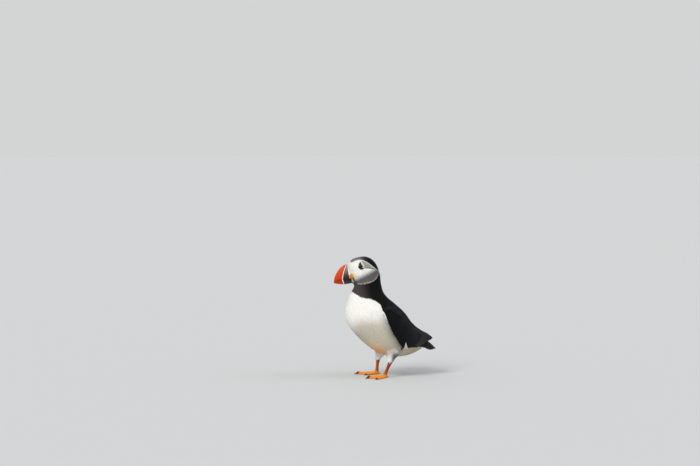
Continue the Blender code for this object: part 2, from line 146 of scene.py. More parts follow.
def turned(points, share=1.0):
    """Points (..., 3) after the head's turn about the upright neck line."""
    angle = HEAD_TURN * np.asarray(share)
    x, y = points[..., 0], points[..., 1] - NECK_AXIS_Y
    turned_x = x * np.cos(angle) - y * np.sin(angle)
    turned_y = x * np.sin(angle) + y * np.cos(angle) + NECK_AXIS_Y
    return np.stack((turned_x, turned_y, points[..., 2]), axis=-1)


def node_middle(name):
    low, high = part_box(name)
    return np.array((low + high) / 2) / MM


SHIFT = node_middle("eye_left") - turned(EYE_PLACE)  # from the solids' working point to the frame's origin


def body_at(t, angle):
    """Points of the feathered outline at ring t and angle: 0 at the breast, pi at the back, left first."""
    t, angle = np.broadcast_arrays(np.asarray(t, float), np.asarray(angle, float))
    ring = curve_at(BODY, t)
    along = -power(np.cos(angle), 2 / SQUARENESS)
    y = mix(ring[..., 0], ring[..., 2], 0.5 + along / 2)
    z = mix(ring[..., 1], ring[..., 3], 0.5 + along / 2)
    points = np.stack((ring[..., 4] * power(np.sin(angle), 2 / SQUARENESS), y, z), axis=-1)
    return turned(points, ease((TURN_STARTS - t) / (TURN_STARTS - TURN_ENDS))) + SHIFT


# Materials

BARB_GAP = 0.35  # real barbs lie about 0.15 mm apart; drawn wider so that they show
PLUMAGE_CLOUDS = 2.4  # patches where the plumage catches more or less light
PORE_SIZE = 0.5
HORN_CLOUDS = 4.0  # uneven places in the horn's colour
SCALE_SIZE = 0.8  # the small scales of the legs


def add_node(tree, kind, settings=(), links=()):
    """Adds a shader node, sets its properties and sockets, and links sockets to earlier nodes' outputs."""
    made = tree.nodes.new(kind)
    for key, value in dict(settings).items():
        if isinstance(key, str) and hasattr(made, key):
            setattr(made, key, value)
        else:
            made.inputs[key].default_value = value
    for key, source in dict(links).items():
        tree.links.new(source, made.inputs[key])
    return made


def new_material(name, **sockets):
    """A Principled material; each keyword sets the socket of that name, with spaces for underscores."""
    material = bpy.data.materials.new(name)
    material.use_nodes = True
    tree = material.node_tree
    shader = tree.nodes["Principled BSDF"]
    for key, value in sockets.items():
        shader.inputs[key.replace("_", " ").title().replace("Ior", "IOR")].default_value = value
    return material, tree, shader


def surfaced(tree, shader, shade, height, strength, depth):
    """The mesh's own colour times shade, and relief from height: its strength, its depth in millimetres."""
    colour = add_node(tree, "ShaderNodeAttribute", {"attribute_name": "tint"}).outputs["Color"]
    if shade is not None:
        shading = {0: colour, "Scale": shade}
        colour = add_node(tree, "ShaderNodeVectorMath", {"operation": "SCALE"}, shading).outputs[0]
    settings = {"Strength": strength, "Distance": depth * MM}
    bump = add_node(tree, "ShaderNodeBump", settings, {"Height": height})
    tree.links.new(colour, shader.inputs["Base Color"])
    tree.links.new(bump.outputs[0], shader.inputs["Normal"])


def plumage_material(name, roughness):
    """Keratin vanes, grown and preened: matt, with fine barbs that slant from the shaft and soften light."""
    material, tree, shader = new_material(name, roughness=roughness, ior=1.55, specular_ior_level=0.1)
    vane = add_node(tree, "ShaderNodeAttribute", {"attribute_name": "vane"}).outputs["Vector"]
    parts = add_node(tree, "ShaderNodeSeparateXYZ", (), {0: vane}).outputs
    across = add_node(tree, "ShaderNodeMath", {"operation": "ABSOLUTE"}, {0: parts[0]}).outputs[0]
    slant = add_node(tree, "ShaderNodeMath", {"operation": "SUBTRACT"}, {0: parts[1], 1: across}).outputs[0]
    settings = {"operation": "MULTIPLY", 1: 2 * math.pi / BARB_GAP}
    phase = add_node(tree, "ShaderNodeMath", settings, {0: slant}).outputs[0]
    barbs = add_node(tree, "ShaderNodeMath", {"operation": "SINE"}, {0: phase}).outputs[0]
    place = add_node(tree, "ShaderNodeTexCoord").outputs["Object"]
    settings = {"Scale": 1 / (PLUMAGE_CLOUDS * MM), "Detail": 4.0}
    patches = add_node(tree, "ShaderNodeTexNoise", settings, {"Vector": place}).outputs["Fac"]
    shade = add_node(tree, "ShaderNodeMapRange", {"To Min": 0.86, "To Max": 1.12}, {"Value": patches})
    surfaced(tree, shader, shade.outputs[0], barbs, 0.25, 0.08)
    return material


def skin_material():
    """Living skin under the plumage, in the plumage's own colours where it shows between feathers."""
    material, tree, shader = new_material("bird_skin", roughness=0.75, specular_ior_level=0.1)
    place = add_node(tree, "ShaderNodeTexCoord").outputs["Object"]
    settings = {"Scale": 1 / (PORE_SIZE * MM), "Detail": 4.0}
    pores = add_node(tree, "ShaderNodeTexNoise", settings, {"Vector": place}).outputs["Fac"]
    surfaced(tree, shader, None, pores, 0.4, 0.2)
    return material


def horn_material(name, roughness, grain, strength, coat=0.0):
    """Keratin horn, grown in layers: waxy, with fine scratches and a little unevenness of colour."""
    material, tree, shader = new_material(
        name, roughness=roughness, ior=1.54, coat_weight=coat, coat_roughness=0.3, specular_ior_level=0.2
    )
    place = add_node(tree, "ShaderNodeTexCoord").outputs["Object"]
    settings = {"Scale": 1 / (grain * MM), "Detail": 6.0}
    fine = add_node(tree, "ShaderNodeTexNoise", settings, {"Vector": place}).outputs["Fac"]
    settings = {"Scale": 1 / (HORN_CLOUDS * MM), "Detail": 4.0}
    broad = add_node(tree, "ShaderNodeTexNoise", settings, {"Vector": place}).outputs["Fac"]
    settings = {"To Min": roughness - 0.08, "To Max": roughness + 0.15}
    rough = add_node(tree, "ShaderNodeMapRange", settings, {"Value": fine})
    tree.links.new(rough.outputs[0], shader.inputs["Roughness"])
    shade = add_node(tree, "ShaderNodeMapRange", {"To Min": 0.8, "To Max": 1.18}, {"Value": broad})
    surfaced(tree, shader, shade.outputs[0], fine, strength, 0.15)
    return material


def leg_material():
    """Bare leg skin: small horny scales over flesh, a little moist, so it shines softly between them."""
    material, tree, shader = new_material(
        "leg_skin", roughness=0.42, specular_ior_level=0.18,
        subsurface_weight=0.12, subsurface_radius=(1.0, 0.35, 0.1), subsurface_scale=1.5 * MM,
    )
    place = add_node(tree, "ShaderNodeTexCoord").outputs["Object"]
    settings = {"feature": "DISTANCE_TO_EDGE", "Scale": 1 / (SCALE_SIZE * MM)}
    cells = add_node(tree, "ShaderNodeTexVoronoi", settings, {"Vector": place}).outputs[0]
    settings = {"From Max": 0.12, "To Min": 0.0, "To Max": 1.0}
    scales = add_node(tree, "ShaderNodeMapRange", settings, {"Value": cells}).outputs[0]
    shade = add_node(tree, "ShaderNodeMapRange", {"To Min": 0.72, "To Max": 1.0}, {"Value": scales})
    surfaced(tree, shader, shade.outputs[0], scales, 0.5, 0.12)
    return material


def eye_material():
    """A wet eyeball: dark iris under a clear cornea, so it is glossy all over."""
    material, tree, shader = new_material("wet_eye", roughness=0.06, ior=1.34)
    colour = add_node(tree, "ShaderNodeAttribute", {"attribute_name": "tint"}).outputs["Color"]
    tree.links.new(colour, shader.inputs["Base Color"])
    return material


MATERIALS = {
    "contour": plumage_material("contour_feathers", 0.7),
    "quill": plumage_material("flight_feathers", 0.5),
    "skin": skin_material(),
    "horn": horn_material("bill_horn", 0.34, 0.5, 0.35, 0.03),
    "cream": horn_material("cere_horn", 0.55, 0.7, 0.9),
    "gape": horn_material("gape_flesh", 0.5, 0.6, 0.8),
    "plate": horn_material("eye_plate_horn", 0.45, 0.5, 0.5),
    "rim": horn_material("eye_ring_flesh", 0.45, 0.4, 0.6),
    "claw": horn_material("claw_horn", 0.3, 0.4, 0.3),
    "leg": leg_material(),
    "eye": eye_material(),
}


# Meshes


def new_piece(name, places, faces, material, tint, vane=None, patch=None, closed=()):
    """A smooth mesh piece from arrays: places, faces as rows of 4 corners, and a colour for each place.

    closed gives the corners of flat ends. A feather also keeps its vane and its patch of the unwrap.
    """
    mesh = bpy.data.meshes.new(name)
    mesh.vertices.add(places.size // 3)
    mesh.vertices.foreach_set("co", (places * MM).astype(np.float32).ravel())
    corners = np.concatenate([faces.ravel(), *closed]).astype(np.int32)
    sizes = np.array([faces.shape[1]] * len(faces) + [len(cap) for cap in closed])
    mesh.loops.add(len(corners))
    mesh.loops.foreach_set("vertex_index", corners)
    mesh.polygons.add(len(sizes))
    mesh.polygons.foreach_set("loop_start", np.concatenate(([0], np.cumsum(sizes)[:-1])).astype(np.int32))
    mesh.update(calc_edges=True)
    if vane is not None:
        kept = mesh.attributes.new("vane", "FLOAT_VECTOR", "POINT")
        kept.data.foreach_set("vector", vane.astype(np.float32).ravel())
        layer = mesh.uv_layers.new(name="OFBake")
        layer.data.foreach_set("uv", patch.reshape(-1, 2)[corners].astype(np.float32).ravel())
    return piece_of(mesh, name, material, tint)


def paint(mesh, tint):
    """Stores a colour for each point, as the attribute that the materials read."""
    colours = np.ones((len(mesh.vertices), 4), np.float32)
    colours[:, :3] = np.reshape(tint, (-1, 3))
    mesh.attributes.new("tint", "FLOAT_COLOR", "POINT").data.foreach_set("color", colours.ravel())


def grid_faces(rows, columns, around=False):
    """Quads of one grid of points, row by row; around joins the last column to the first."""
    i, j = np.meshgrid(np.arange(rows - 1), np.arange(columns if around else columns - 1), indexing="ij")
    n = (j + 1) % columns
    corners = (i * columns + j, i * columns + n, (i + 1) * columns + n, (i + 1) * columns + j)
    return np.stack(corners, -1).reshape(-1, 4)


def grid_ends(rows, columns):
    """The corners that close a grid's first and last row."""
    first = np.arange(columns)
    return first[::-1], (rows - 1) * columns + first


def places_of(mesh):
    found = np.empty(len(mesh.vertices) * 3, np.float32)
    mesh.vertices.foreach_get("co", found)
    return found.reshape(-1, 3).astype(float) / MM


def outward_of(mesh):
    found = np.empty(len(mesh.vertices) * 3, np.float32)
    mesh.vertex_normals.foreach_get("vector", found)
    return found.reshape(-1, 3).astype(float)


def relaxed(mesh, places, rounds, share=0.5):
    """Places after each is drawn towards the mean of its neighbours."""
    edges = np.empty(len(mesh.edges) * 2, np.int32)
    mesh.edges.foreach_get("vertices", edges)
    a, b = edges.reshape(-1, 2).T
    count = np.bincount(np.concatenate((a, b)), minlength=len(places))[:, None]
    size = len(places)
    for _ in range(rounds):
        total = np.zeros_like(places)
        for axis in range(3):
            total[:, axis] = np.bincount(a, places[b, axis], size) + np.bincount(b, places[a, axis], size)
        places = mix(places, total / np.maximum(count, 1), share)
    return places


def fused(name, nodes, voxel, swell=0.35, rounds=4, balls=()):
    """One closed mesh over several solids: swollen to meet, remade in small cubes, smoothed, drawn back.

    voxel is the size of the cubes. balls adds flesh that joins the solids, each a middle and a radius.
    """
    bm = bmesh.new()
    for middle, radius in balls:
        place = Matrix.Translation(Vector(middle) * MM)
        bmesh.ops.create_icosphere(bm, subdivisions=3, radius=radius * MM, matrix=place)
    for node in nodes:
        bm.from_mesh(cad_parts[node].data)
    bmesh.ops.remove_doubles(bm, verts=bm.verts, dist=0.00001)
    bm.normal_update()
    for vert in bm.verts:
        vert.co += vert.normal * swell * MM
    mesh = bpy.data.meshes.new(name)
    bm.to_mesh(mesh)
    bm.free()
    holder = bpy.data.objects.new(name, mesh)
    bpy.context.scene.collection.objects.link(holder)
    remesh = holder.modifiers.new("remesh", "REMESH")
    remesh.mode = "VOXEL"
    remesh.voxel_size = voxel * MM
    depsgraph = bpy.context.evaluated_depsgraph_get()
    made = bpy.data.meshes.new_from_object(holder.evaluated_get(depsgraph))
    bpy.data.objects.remove(holder)
    places = relaxed(made, places_of(made), rounds)
    set_places(made, places)
    set_places(made, places - outward_of(made) * swell)
    return made


def set_places(mesh, places):
    mesh.vertices.foreach_set("co", (places * MM).astype(np.float32).ravel())
    mesh.update()


def piece_of(mesh, name, material, tint):
    """A piece from a finished mesh."""
    mesh.shade_smooth()
    paint(mesh, tint)
    mesh.materials.clear()
    mesh.materials.append(MATERIALS[material])
    piece = bpy.data.objects.new(name, mesh)
    bpy.context.scene.collection.objects.link(piece)
    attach(piece, "root")
    return piece


def tree_of(*meshes):
    """A search tree over meshes, in millimetres."""
    places, faces, first = [], [], 0
    for mesh in meshes:
        places.extend(places_of(mesh).tolist())
        faces.extend([[first + k for k in p.vertices] for p in mesh.polygons])
        first = len(places)
    return BVHTree.FromPolygons(places, faces)


WINGS = tree_of(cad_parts["wing_left"].data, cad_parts["wing_right"].data)
WING_COAT = 1.1  # how deep the wing's small feathers lie over its arm


class Cover:
    """The surface that feathers lie on: skin and legs, then the arms, whose own feathers add a depth."""

    def __init__(self, body_meshes, wing_meshes):
        self.tree = tree_of(*body_meshes, *wing_meshes)
        self.first_wing_face = sum(len(mesh.polygons) for mesh in body_meshes)

    def settled(self, places, outward, reach=7.0):
        """Each place moved to the outermost surface on its line outward, and that surface's direction."""
        found, normals, faces = np.array(places), np.array(outward), np.zeros(len(places), int)
        for k, (p, n) in enumerate(zip(places, outward)):
            hit, normal, face, _ = self.tree.ray_cast(Vector(p + n * reach), Vector(-n), 2 * reach)
            if hit is None:
                hit, normal, face, _ = self.tree.find_nearest(Vector(p))
            found[k], normals[k], faces[k] = hit, normal, face
        over_wing = (faces >= self.first_wing_face)[:, None]
        return found + normals * WING_COAT * over_wing, normals

    def beside(self, side, y, z):
        """How far out the surface stands on one side at arrays y and z, and where that surface is a wing."""
        reach, on_wing = np.full(y.shape, np.nan), np.zeros(y.shape, bool)
        for at in np.ndindex(y.shape):
            hit, _, face, _ = self.tree.ray_cast(*from_side(side, y[at], z[at]))
            if hit is not None:
                reach[at], on_wing[at] = side * hit.x, face >= self.first_wing_face
        return reach, on_wing


def from_side(side, y, z):
    """The start, direction and length of a line that runs in from one side."""
    return Vector((side * 90, y, z)), Vector((-side, 0, 0)), 90


def evened(x, share):
    """Rows of numbers, each drawn towards the mean of its two neighbours."""
    wide = np.pad(x, ((0, 0), (1, 1)), mode="edge")
    return mix(x, (wide[:, 2:] + wide[:, :-2]) / 2, share)


# Markings

BLACK, BLUE_BLACK, WING_BLACK = srgb("080809"), srgb("11141b"), srgb("0a0b0e")
LIT_FRONT_GREY, CAP_FRONT = srgb("494041"), srgb("7a7278")
WHITE, CREAM_WHITE, STRAW_WHITE = srgb("f6f5f2"), srgb("cfc8b8"), srgb("b5a888")
WING_SHADE_GREY = srgb("5a5550")
PEACH, WARM_WHITE, SHADE_GREY = srgb("fab481"), srgb("ecd2aa"), srgb("4d4644")
FACE_WHITE, PANEL_GREY = srgb("f0efec"), srgb("989a92")
CHEEK_GREY, CHEEK_RIM = srgb("3a3331"), srgb("a9a39e")
FOLD_SHADOW_OLIVE, CHIN_PALE = srgb("4a4632"), srgb("c3cbb9")
PINK_PALE, HALO = srgb("f2e2de"), srgb("f0dfae")

# Outline of the pale face on the unturned head, (y, z)
FACE = np.array((
    (-62, 158), (-62, 197), (-53.0, 199.4), (-50.4, 194.2), (-44.1, 196.9), (-38.2, 198.8),
    (-31.3, 198.4), (-24.5, 195.0), (-17.7, 190.0), (-10.9, 184.2), (-4.6, 179.3), (-5.4, 173.6),
    (-8.4, 168.4), (-12.6, 164.4), (-18.4, 161.4), (-26.2, 159.0), (-34.7, 157.8), (-41.6, 158.0),
    (-52.0, 157.6),
), float)
CREASE = np.array(((-32.0, 185.4), (-26.0, 185.0), (-19.0, 184.4), (-12.4, 183.0)))
GAPE_FOLD = np.array(((-47.4, 168.0), (-45.0, 163.6), (-41.4, 159.0)))
# Outlines of the horny plates over and under the eye, (y, z) from the eye
BROW_PLATE = np.array((
    (-3.3, 0.8), (-3.1, 3.0), (-2.6, 5.2), (-1.7, 7.4), (-0.7, 9.4),
    (0.5, 7.4), (1.5, 5.2), (2.7, 3.2), (3.9, 0.8),
))
UNDER_PLATE = np.array((
    (-1.6, -3.0), (-0.8, -3.7), (0.8, -4.0), (2.6, -3.6), (4.0, -2.7),
    (5.0, -1.4), (4.4, -0.9), (3.0, -1.0), (0.0, -2.0),
))
# Where black gives way to white on the body's side: y, and the height of the border
BORDER = np.array((
    (-70, 146.5), (-50.4, 145.5), (-47.5, 143.0), (-43, 138.3), (-36.7, 135.0), (-30.5, 133.6),
    (-23.7, 132.6), (-17.2, 129.5), (-10.7, 124.6), (-7.0, 118.6), (-3.3, 109.6), (0.5, 97.0),
    (8, 82), (17, 69), (27, 58), (45, 53), (58, 51), (72, 49), (100, 46),
))


def line_distance(y, z, line):
    """Distance from points to an open line of (y, z) corners, and how far along it they lie, 0 to 1."""
    best, along = np.full(np.shape(y), 1e9), np.zeros(np.shape(y))
    for k, (a, b) in enumerate(zip(line, line[1:])):
        d = b - a
        s = np.clip(((y - a[0]) * d[0] + (z - a[1]) * d[1]) / (d @ d), 0, 1)
        gap = np.hypot(y - a[0] - s * d[0], z - a[1] - s * d[1])
        along = np.where(gap < best, (k + s) / (len(line) - 1), along)
        best = np.minimum(gap, best)
    return best, along


def inside(y, z, outline):
    """Signed distance into a closed outline: positive inside."""
    hits = np.zeros(np.shape(y), bool)
    for a, b in zip(outline, np.roll(outline, -1, axis=0)):
        crosses = (a[1] > z) != (b[1] > z)
        with np.errstate(divide="ignore", invalid="ignore"):
            at = a[0] + (z - a[1]) / (b[1] - a[1]) * (b[0] - a[0])
        hits ^= crosses & (y < at)
    gap, _ = line_distance(y, z, np.vstack((outline, outline[:1])))
    return np.where(hits, gap, -gap)


def blend(base, over, share):
    return mix(base, over, np.asarray(share)[..., None])


def border_height(y):
    """How high the border between white and black runs."""
    return np.interp(y, BORDER[:, 0], BORDER[:, 1])


def plumage_colour(plain, ragged=0.0):
    """Linear colours for points of the unturned body, with borders wandering by ragged millimetres."""
    x, y, z = plain[..., 0], plain[..., 1], plain[..., 2]
    wander = rng.normal(0, 1, np.shape(y)) * ragged
    # painted light: the front of the head and neck is brown-grey where light falls on it, black further back
    dark = blend(LIT_FRONT_GREY, BLACK, ease((y + 44) / 26))
    dark = blend(dark, CAP_FRONT, ease((z - 186) / 8) * ease((-26 - y) / 14))
    dark = blend(dark, BLUE_BLACK, ease((y - 0) / 20))
    # painted shade: the white turns grey-beige on the belly below the breast
    white = blend(WHITE, CREAM_WHITE, ease((109 - z) / 24) * ease((y + 58) / 20))
    # painted warm light bounced up from below, on the lower belly
    white = blend(white, WARM_WHITE, ease((72 - z) / 20) * ease((8 - y) / 24) * 0.8)
    # partly painted shade and partly a straw tint of its own, under the tail
    white = blend(white, STRAW_WHITE, ease((y - 22) / 30) * ease((58 - z) / 12) * 0.8)
    # painted warm light reflected from the orange feet, on the belly between the legs
    between_legs = np.exp(-(((y + 7) / 13) ** 2) - ((z - 42) / 11) ** 2) * ease((34 - np.abs(x)) / 14)
    white = blend(white, PEACH, 0.9 * between_legs)
    # painted shadow of the wing: the white flank greys near the wing's lower edge
    gap, _ = line_distance(y, z, WING_LOWER[:6, :2])
    white = blend(white, WING_SHADE_GREY, 0.62 * bell(gap / 7.5) * ease((112 - z) / 14))
    colour = blend(white, dark, ease((z - border_height(y) + wander) / 1.2 + 0.5))
    face = inside(y, z, FACE)
    pale = np.broadcast_to(FACE_WHITE, colour.shape)
    # partly painted shade, where the cheek turns down and back from the light, and partly the cheek's own
    # grey
    low_and_back = 178 - z + 0.53 * (y + 20.6)
    shade = np.maximum(ease((low_and_back + 6) / 12) * 0.9, ease((176 - z) / 6) * 0.26)
    pale = blend(pale, CHEEK_GREY, shade)
    above_crease = ease((z - np.interp(y, CREASE[:, 0], CREASE[:, 1])) / 0.8)
    streak = ease((y + 33.0 + (z - 186) * 0.35) / 1.0) * ease((face - 0.6) / 0.8)
    pale = blend(pale, PINK_PALE, above_crease * streak * 0.5)
    panel = ease((y + 29.6 + (z - 187.4) * 0.44) / 1.0) * (0.35 + 0.65 * ease((face - 0.9) / 0.8))
    pale = blend(pale, PANEL_GREY, above_crease * panel)
    rim = ease((1.5 - face) / 0.7) * ease((y + 44) / 4) * ease((184 - z) / 3)
    pale = blend(pale, CHEEK_RIM, rim)
    # painted shade in the crease that runs back from the eye
    gap, along = line_distance(y, z, CREASE)
    pale = blend(pale, SHADE_GREY, ease((1.0 - gap) / 0.7) * (0.75 + 0.25 * along))
    chin = ease((-44.5 - y + (z - 163) * 0.45) / 1.5) * ease((168 - z) / 2)
    pale = blend(pale, CHIN_PALE, chin * 0.85)
    # painted shadow: the fold below the mouth's corner is dark olive
    gap, _ = line_distance(y, z, GAPE_FOLD)
    pale = blend(pale, FOLD_SHADOW_OLIVE, ease((1.5 - gap) / 0.9))
    gap = np.hypot(y - GAPE[0] - 1.2, z - GAPE[1] - 3.2)
    pale = blend(pale, HALO, ease((6.4 - gap) / 1.2) * ease((z - 168) / 2))
    pale = blend(pale, PINK_PALE, ease((z - 189.5) / 3) * ease((-48.8 - y) / 3) * 0.8)
    return blend(colour, pale, ease((face + wander * 0.5) / 0.7 + 0.5))


# Skin

SAMPLE_T = np.linspace(0, LAST_RING, 261)
SAMPLE_ANGLE = np.linspace(-math.pi, math.pi, 128, endpoint=False)
GRID_T, GRID_ANGLE = (g.ravel() for g in np.meshgrid(SAMPLE_T, SAMPLE_ANGLE, indexing="ij"))
GRID_PLACES = body_at(GRID_T, GRID_ANGLE)
STEP = 0.03
GRID_ALONG = (body_at(GRID_T + STEP, GRID_ANGLE) - body_at(GRID_T - STEP, GRID_ANGLE)) / (2 * STEP)
GRID_AROUND = (body_at(GRID_T, GRID_ANGLE + STEP) - body_at(GRID_T, GRID_ANGLE - STEP)) / (2 * STEP)
GRID_OUT = unit(np.cross(GRID_ALONG, GRID_AROUND))
body_index = KDTree(len(GRID_PLACES))
for number, place in enumerate(GRID_PLACES):
    body_index.insert(place, number)
body_index.balance()


def on_body(places):
    """For each place: its ring number, its angle, and how far it stands out from the body's outline."""
    n = np.array([body_index.find(p)[1] for p in places])
    gap = places - GRID_PLACES[n]
    t = GRID_T[n] + (gap * GRID_ALONG[n]).sum(1) / (GRID_ALONG[n] ** 2).sum(1)
    angle = GRID_ANGLE[n] + (gap * GRID_AROUND[n]).sum(1) / np.maximum((GRID_AROUND[n] ** 2).sum(1), 1.0)
    return np.clip(t, 0, LAST_RING), angle, (gap * GRID_OUT[n]).sum(1)


def unturned(places, t):
    """Places of the real bird brought back to the body before the head's turn."""
    points = places - SHIFT
    return turned(points, -ease((TURN_STARTS - t) / (TURN_STARTS - TURN_ENDS)))


def on_thigh(t, height):
    """True where a place belongs to a feathered leg, outside the trunk."""
    return (t > 9) & (height > 1.2)


def coat_depth(t):
    """How deep the plumage lies over the skin."""
    return np.interp(t, (0, 0.5, 2.0, 3.6, 5, 7, 11, 13), (0.3, 0.45, 0.6, 0.8, 1.3, 1.8, 1.9, 1.2))


def make_skin():
    """One skin over head, neck, trunk and thighs, drawn in by the plumage's depth, with the face's folds."""
    flesh = ["head", "neck", "trunk", "thigh_left", "thigh_right"]
    mesh = fused("skin", flesh + ["eye_left", "eye_right"], 1.0)
    places = places_of(mesh)
    t, _, height = on_body(places)
    thigh = on_thigh(t, height)
    depth = np.where(thigh, THIGH_DEPTH, coat_depth(t))
    plain = unturned(places, t)
    y, z = plain[:, 1], plain[:, 2]
    on_face = t < 5
    gap, _ = line_distance(y, z, CREASE)
    depth = depth + 0.8 * bell(gap / 1.0) * on_face
    gap, _ = line_distance(y, z, GAPE_FOLD)
    depth = depth + 0.8 * bell(gap / 1.2) * on_face
    rim = inside(y, z, FACE)
    low_rim = on_face * ease((184 - z) / 6) * ease((y + 46) / 8)
    depth = depth - 0.55 * bell((rim - 1.2) / 1.8) * low_rim
    depth = depth + 0.5 * bell((rim + 1.5) / 1.5) * low_rim
    places = places - outward_of(mesh) * depth[:, None]
    set_places(mesh, relaxed(mesh, places, 2, 0.4))
    t, angle, _ = on_body(places)
    over = places + body_lie(t, angle) * (0.6 * size_at(t, LENGTH))[:, None]
    colour = np.where(thigh[:, None], leg_colour(places), plumage_colour(unturned(over, t)))
    # painted shade: the skin has the plumage's colours a tenth darker, where it shows between feathers
    piece = piece_of(mesh, "skin", "skin", colour * 0.9)
    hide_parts(*flesh)
    return mesh


def leg_colour(places):
    """Thigh plumage: white in front, with painted shade behind and low down."""
    y, z = places[..., 1] - SHIFT[1], places[..., 2]
    # painted shade behind the thigh and low down
    behind = ease((y - 10) / 6) * ease((46 - z) / 10)
    return blend(WHITE, SHADE_GREY, 0.85 * behind)


# Plumage


# Half-widths of a feather at its root, a quarter, six tenths and six sevenths of its length, and its tip
VANE = (0.3, 0.75, 1.0, 0.92, 0.7)
HAIR = (0.5, 0.9, 1.0, 0.8, 0.22)
# Kinds of feather: points along and across, material, half-widths, how frayed its tip is, how round its
# tip is, how far its sides bend down, how far its shaft stands up, and how much paler its edge is painted,
# as sheen
KINDS = {
    "hair": (5, 3, "contour", HAIR, 0.05, 0.05, 0.06, 0.0, 1.0),
    "collar": (5, 6, "contour", VANE, 0.05, 0.5, 0.06, 0.0, 1.0),
    "breast": (5, 8, "contour", VANE, 0.05, 0.5, 0.06, 0.0, 1.0),
    "back": (5, 7, "contour", VANE, 0.05, 0.5, 0.06, 0.0, 1.0),
    "thigh": (5, 4, "contour", VANE, 0.14, 0.5, 0.06, 0.0, 1.0),
    "flank": (6, 5, "contour", VANE, 0.1, 0.5, 0.06, 0.0, 1.0),
    "wisp": (8, 4, "contour", HAIR, 0.1, 0.05, 0.06, 0.0, 1.0),
    "covert": (6, 5, "contour", VANE, 0.08, 0.4, 0.06, 0.0, 1.3),
    "scapular": (9, 8, "contour", VANE, 0.05, 0.35, 0.05, 0.08, 1.6),
    "flight": (14, 9, "quill", VANE, 0.015, 0.22, 0.03, 0.2, 1.9),
    "tail": (16, 9, "quill", VANE, 0.01, 0.2, 0.04, 0.25, 1.8),
}
PATCH = 0.003  # how much of the unwrap one feather takes


class Vanes:
    """A batch of like feathers: lines of points from root to tip, sizes, colours, places on the unwrap."""

    def __init__(self, line, out, width, lift, tint, root_uv, base=0.0):
        self.line, self.out, self.tint, self.root_uv = line, out, tint, root_uv
        self.width, self.lift, self.base = (np.broadcast_to(size, len(line)) for size in (width, lift, base))

    def fields(self):
        return self.line, self.out, self.width, self.lift, self.tint, self.root_uv, self.base

    def __getitem__(self, part):
        return Vanes(*(field[part] for field in self.fields()))


def joined(batches):
    return Vanes(*map(np.concatenate, zip(*(batch.fields() for batch in batches))))


def along(samples, s):
    """Points (N, R, C, 3) of lines (N, K, 3) at shares s (N, R, C) of their length."""
    last = samples.shape[1] - 1
    at = np.clip(s, 0, 1) * last
    i = np.minimum(at.astype(int), last - 1)
    u = (at - i)[..., None]
    n = np.arange(len(samples))[:, None, None]
    before, start = samples[n, np.maximum(i - 1, 0)], samples[n, i]
    end, after = samples[n, i + 1], samples[n, np.minimum(i + 2, last)]
    before = np.where((i == 0)[..., None], 2 * start - end, before)
    after = np.where((i == last - 1)[..., None], 2 * end - start, after)
    return 0.5 * (
        2 * start + (end - before) * u + (2 * before - 5 * start + 4 * end - after) * u**2
        + (3 * start - before - 3 * end + after) * u**3
    )


def feather_piece(name, batch, kind):
    """Joined feathers as one mesh: each a thin vane that rises from its root, then lies flat to its tip."""
    rows, columns, material, breadth, fray, roundness, camber, shaft, edge = KINDS[kind]
    batch.root_uv = fitted(batch.root_uv)
    count = len(batch.line)
    s = np.linspace(0, 1, rows)[None, :, None]
    c = np.linspace(-1, 1, columns)[None, None, :]
    torn = rng.uniform(-fray, fray, (count, 1, columns)) * s**3
    reach = s * (1 - roundness * c**2 * s) * (1 + torn - fray * s)
    centre, out = along(batch.line, reach), unit(along(batch.out, reach))
    before, after = np.clip(reach - 0.05, 0, 0.94), np.clip(reach + 0.05, 0.06, 1)
    side = unit(np.cross(unit(along(batch.line, after) - along(batch.line, before)), out))
    share = np.interp(s, (0, 0.25, 0.6, 0.85, 1), breadth)
    half = batch.width[:, None, None] / 2 * share
    rise = 1 - (1 - np.clip(reach, 0, 1)) ** 2.2
    height = batch.base[:, None, None] + batch.lift[:, None, None] * rise
    height = height - camber * batch.width[:, None, None] * (c * share) ** 2
    if shaft:
        height = height + shaft * bell(c * columns / 3.0) * (1 - 0.7 * s)
    places = centre + side * (c * half)[..., None] + out * height[..., None]
    length = np.linalg.norm(batch.line[:, -1] - batch.line[:, 0], axis=-1)[:, None, None]
    # painted shade darkens each feather towards its root, where others cover it, and painted sheen makes its
    # edge paler towards the tip
    shade = mix(0.9, 1.0, ease(s * 1.4)) * mix(1.0, edge, np.abs(c) ** 3 * s)
    tint = batch.tint[:, None, None, :] * np.broadcast_to(shade, (count, rows, columns))[..., None]
    vane = np.stack(np.broadcast_arrays(c * half, reach * length, np.zeros((count, 1, 1))), axis=-1)
    within = np.stack(np.broadcast_arrays(c * PATCH / 2, (s - 0.5) * PATCH), -1)
    patch = np.broadcast_to(batch.root_uv[:, None, None, :] + within, (count, rows, columns, 2))
    faces = grid_faces(rows, columns)[None] + (np.arange(count) * rows * columns)[:, None, None]
    return new_piece(name, places, faces.reshape(-1, 4), material, np.clip(tint, 0, 1), vane, patch)


def sown(mesh, spacing_at):
    """Places spread evenly over a mesh, and their outward directions; spacing_at gives the gap at places."""
    mesh.calc_loop_triangles()
    corners = np.empty(len(mesh.loop_triangles) * 3, np.int32)
    mesh.loop_triangles.foreach_get("vertices", corners)
    a, b, c = places_of(mesh)[corners.reshape(-1, 3).T]
    normals = np.cross(b - a, c - a)
    area = np.linalg.norm(normals, axis=1) / 2
    spacing = spacing_at((a + b + c) / 3)
    wanted = 2.6 * area / spacing**2
    picks = rng.choice(len(area), int(wanted.sum()), p=wanted / wanted.sum())
    u, v = rng.uniform(size=(2, len(picks), 1))
    u, v = np.where(u + v > 1, 1 - u, u), np.where(u + v > 1, 1 - v, v)
    places = a[picks] + (b - a)[picks] * u + (c - a)[picks] * v
    kept = thinned(places, spacing[picks])
    return places[kept], unit(normals[picks[kept]])


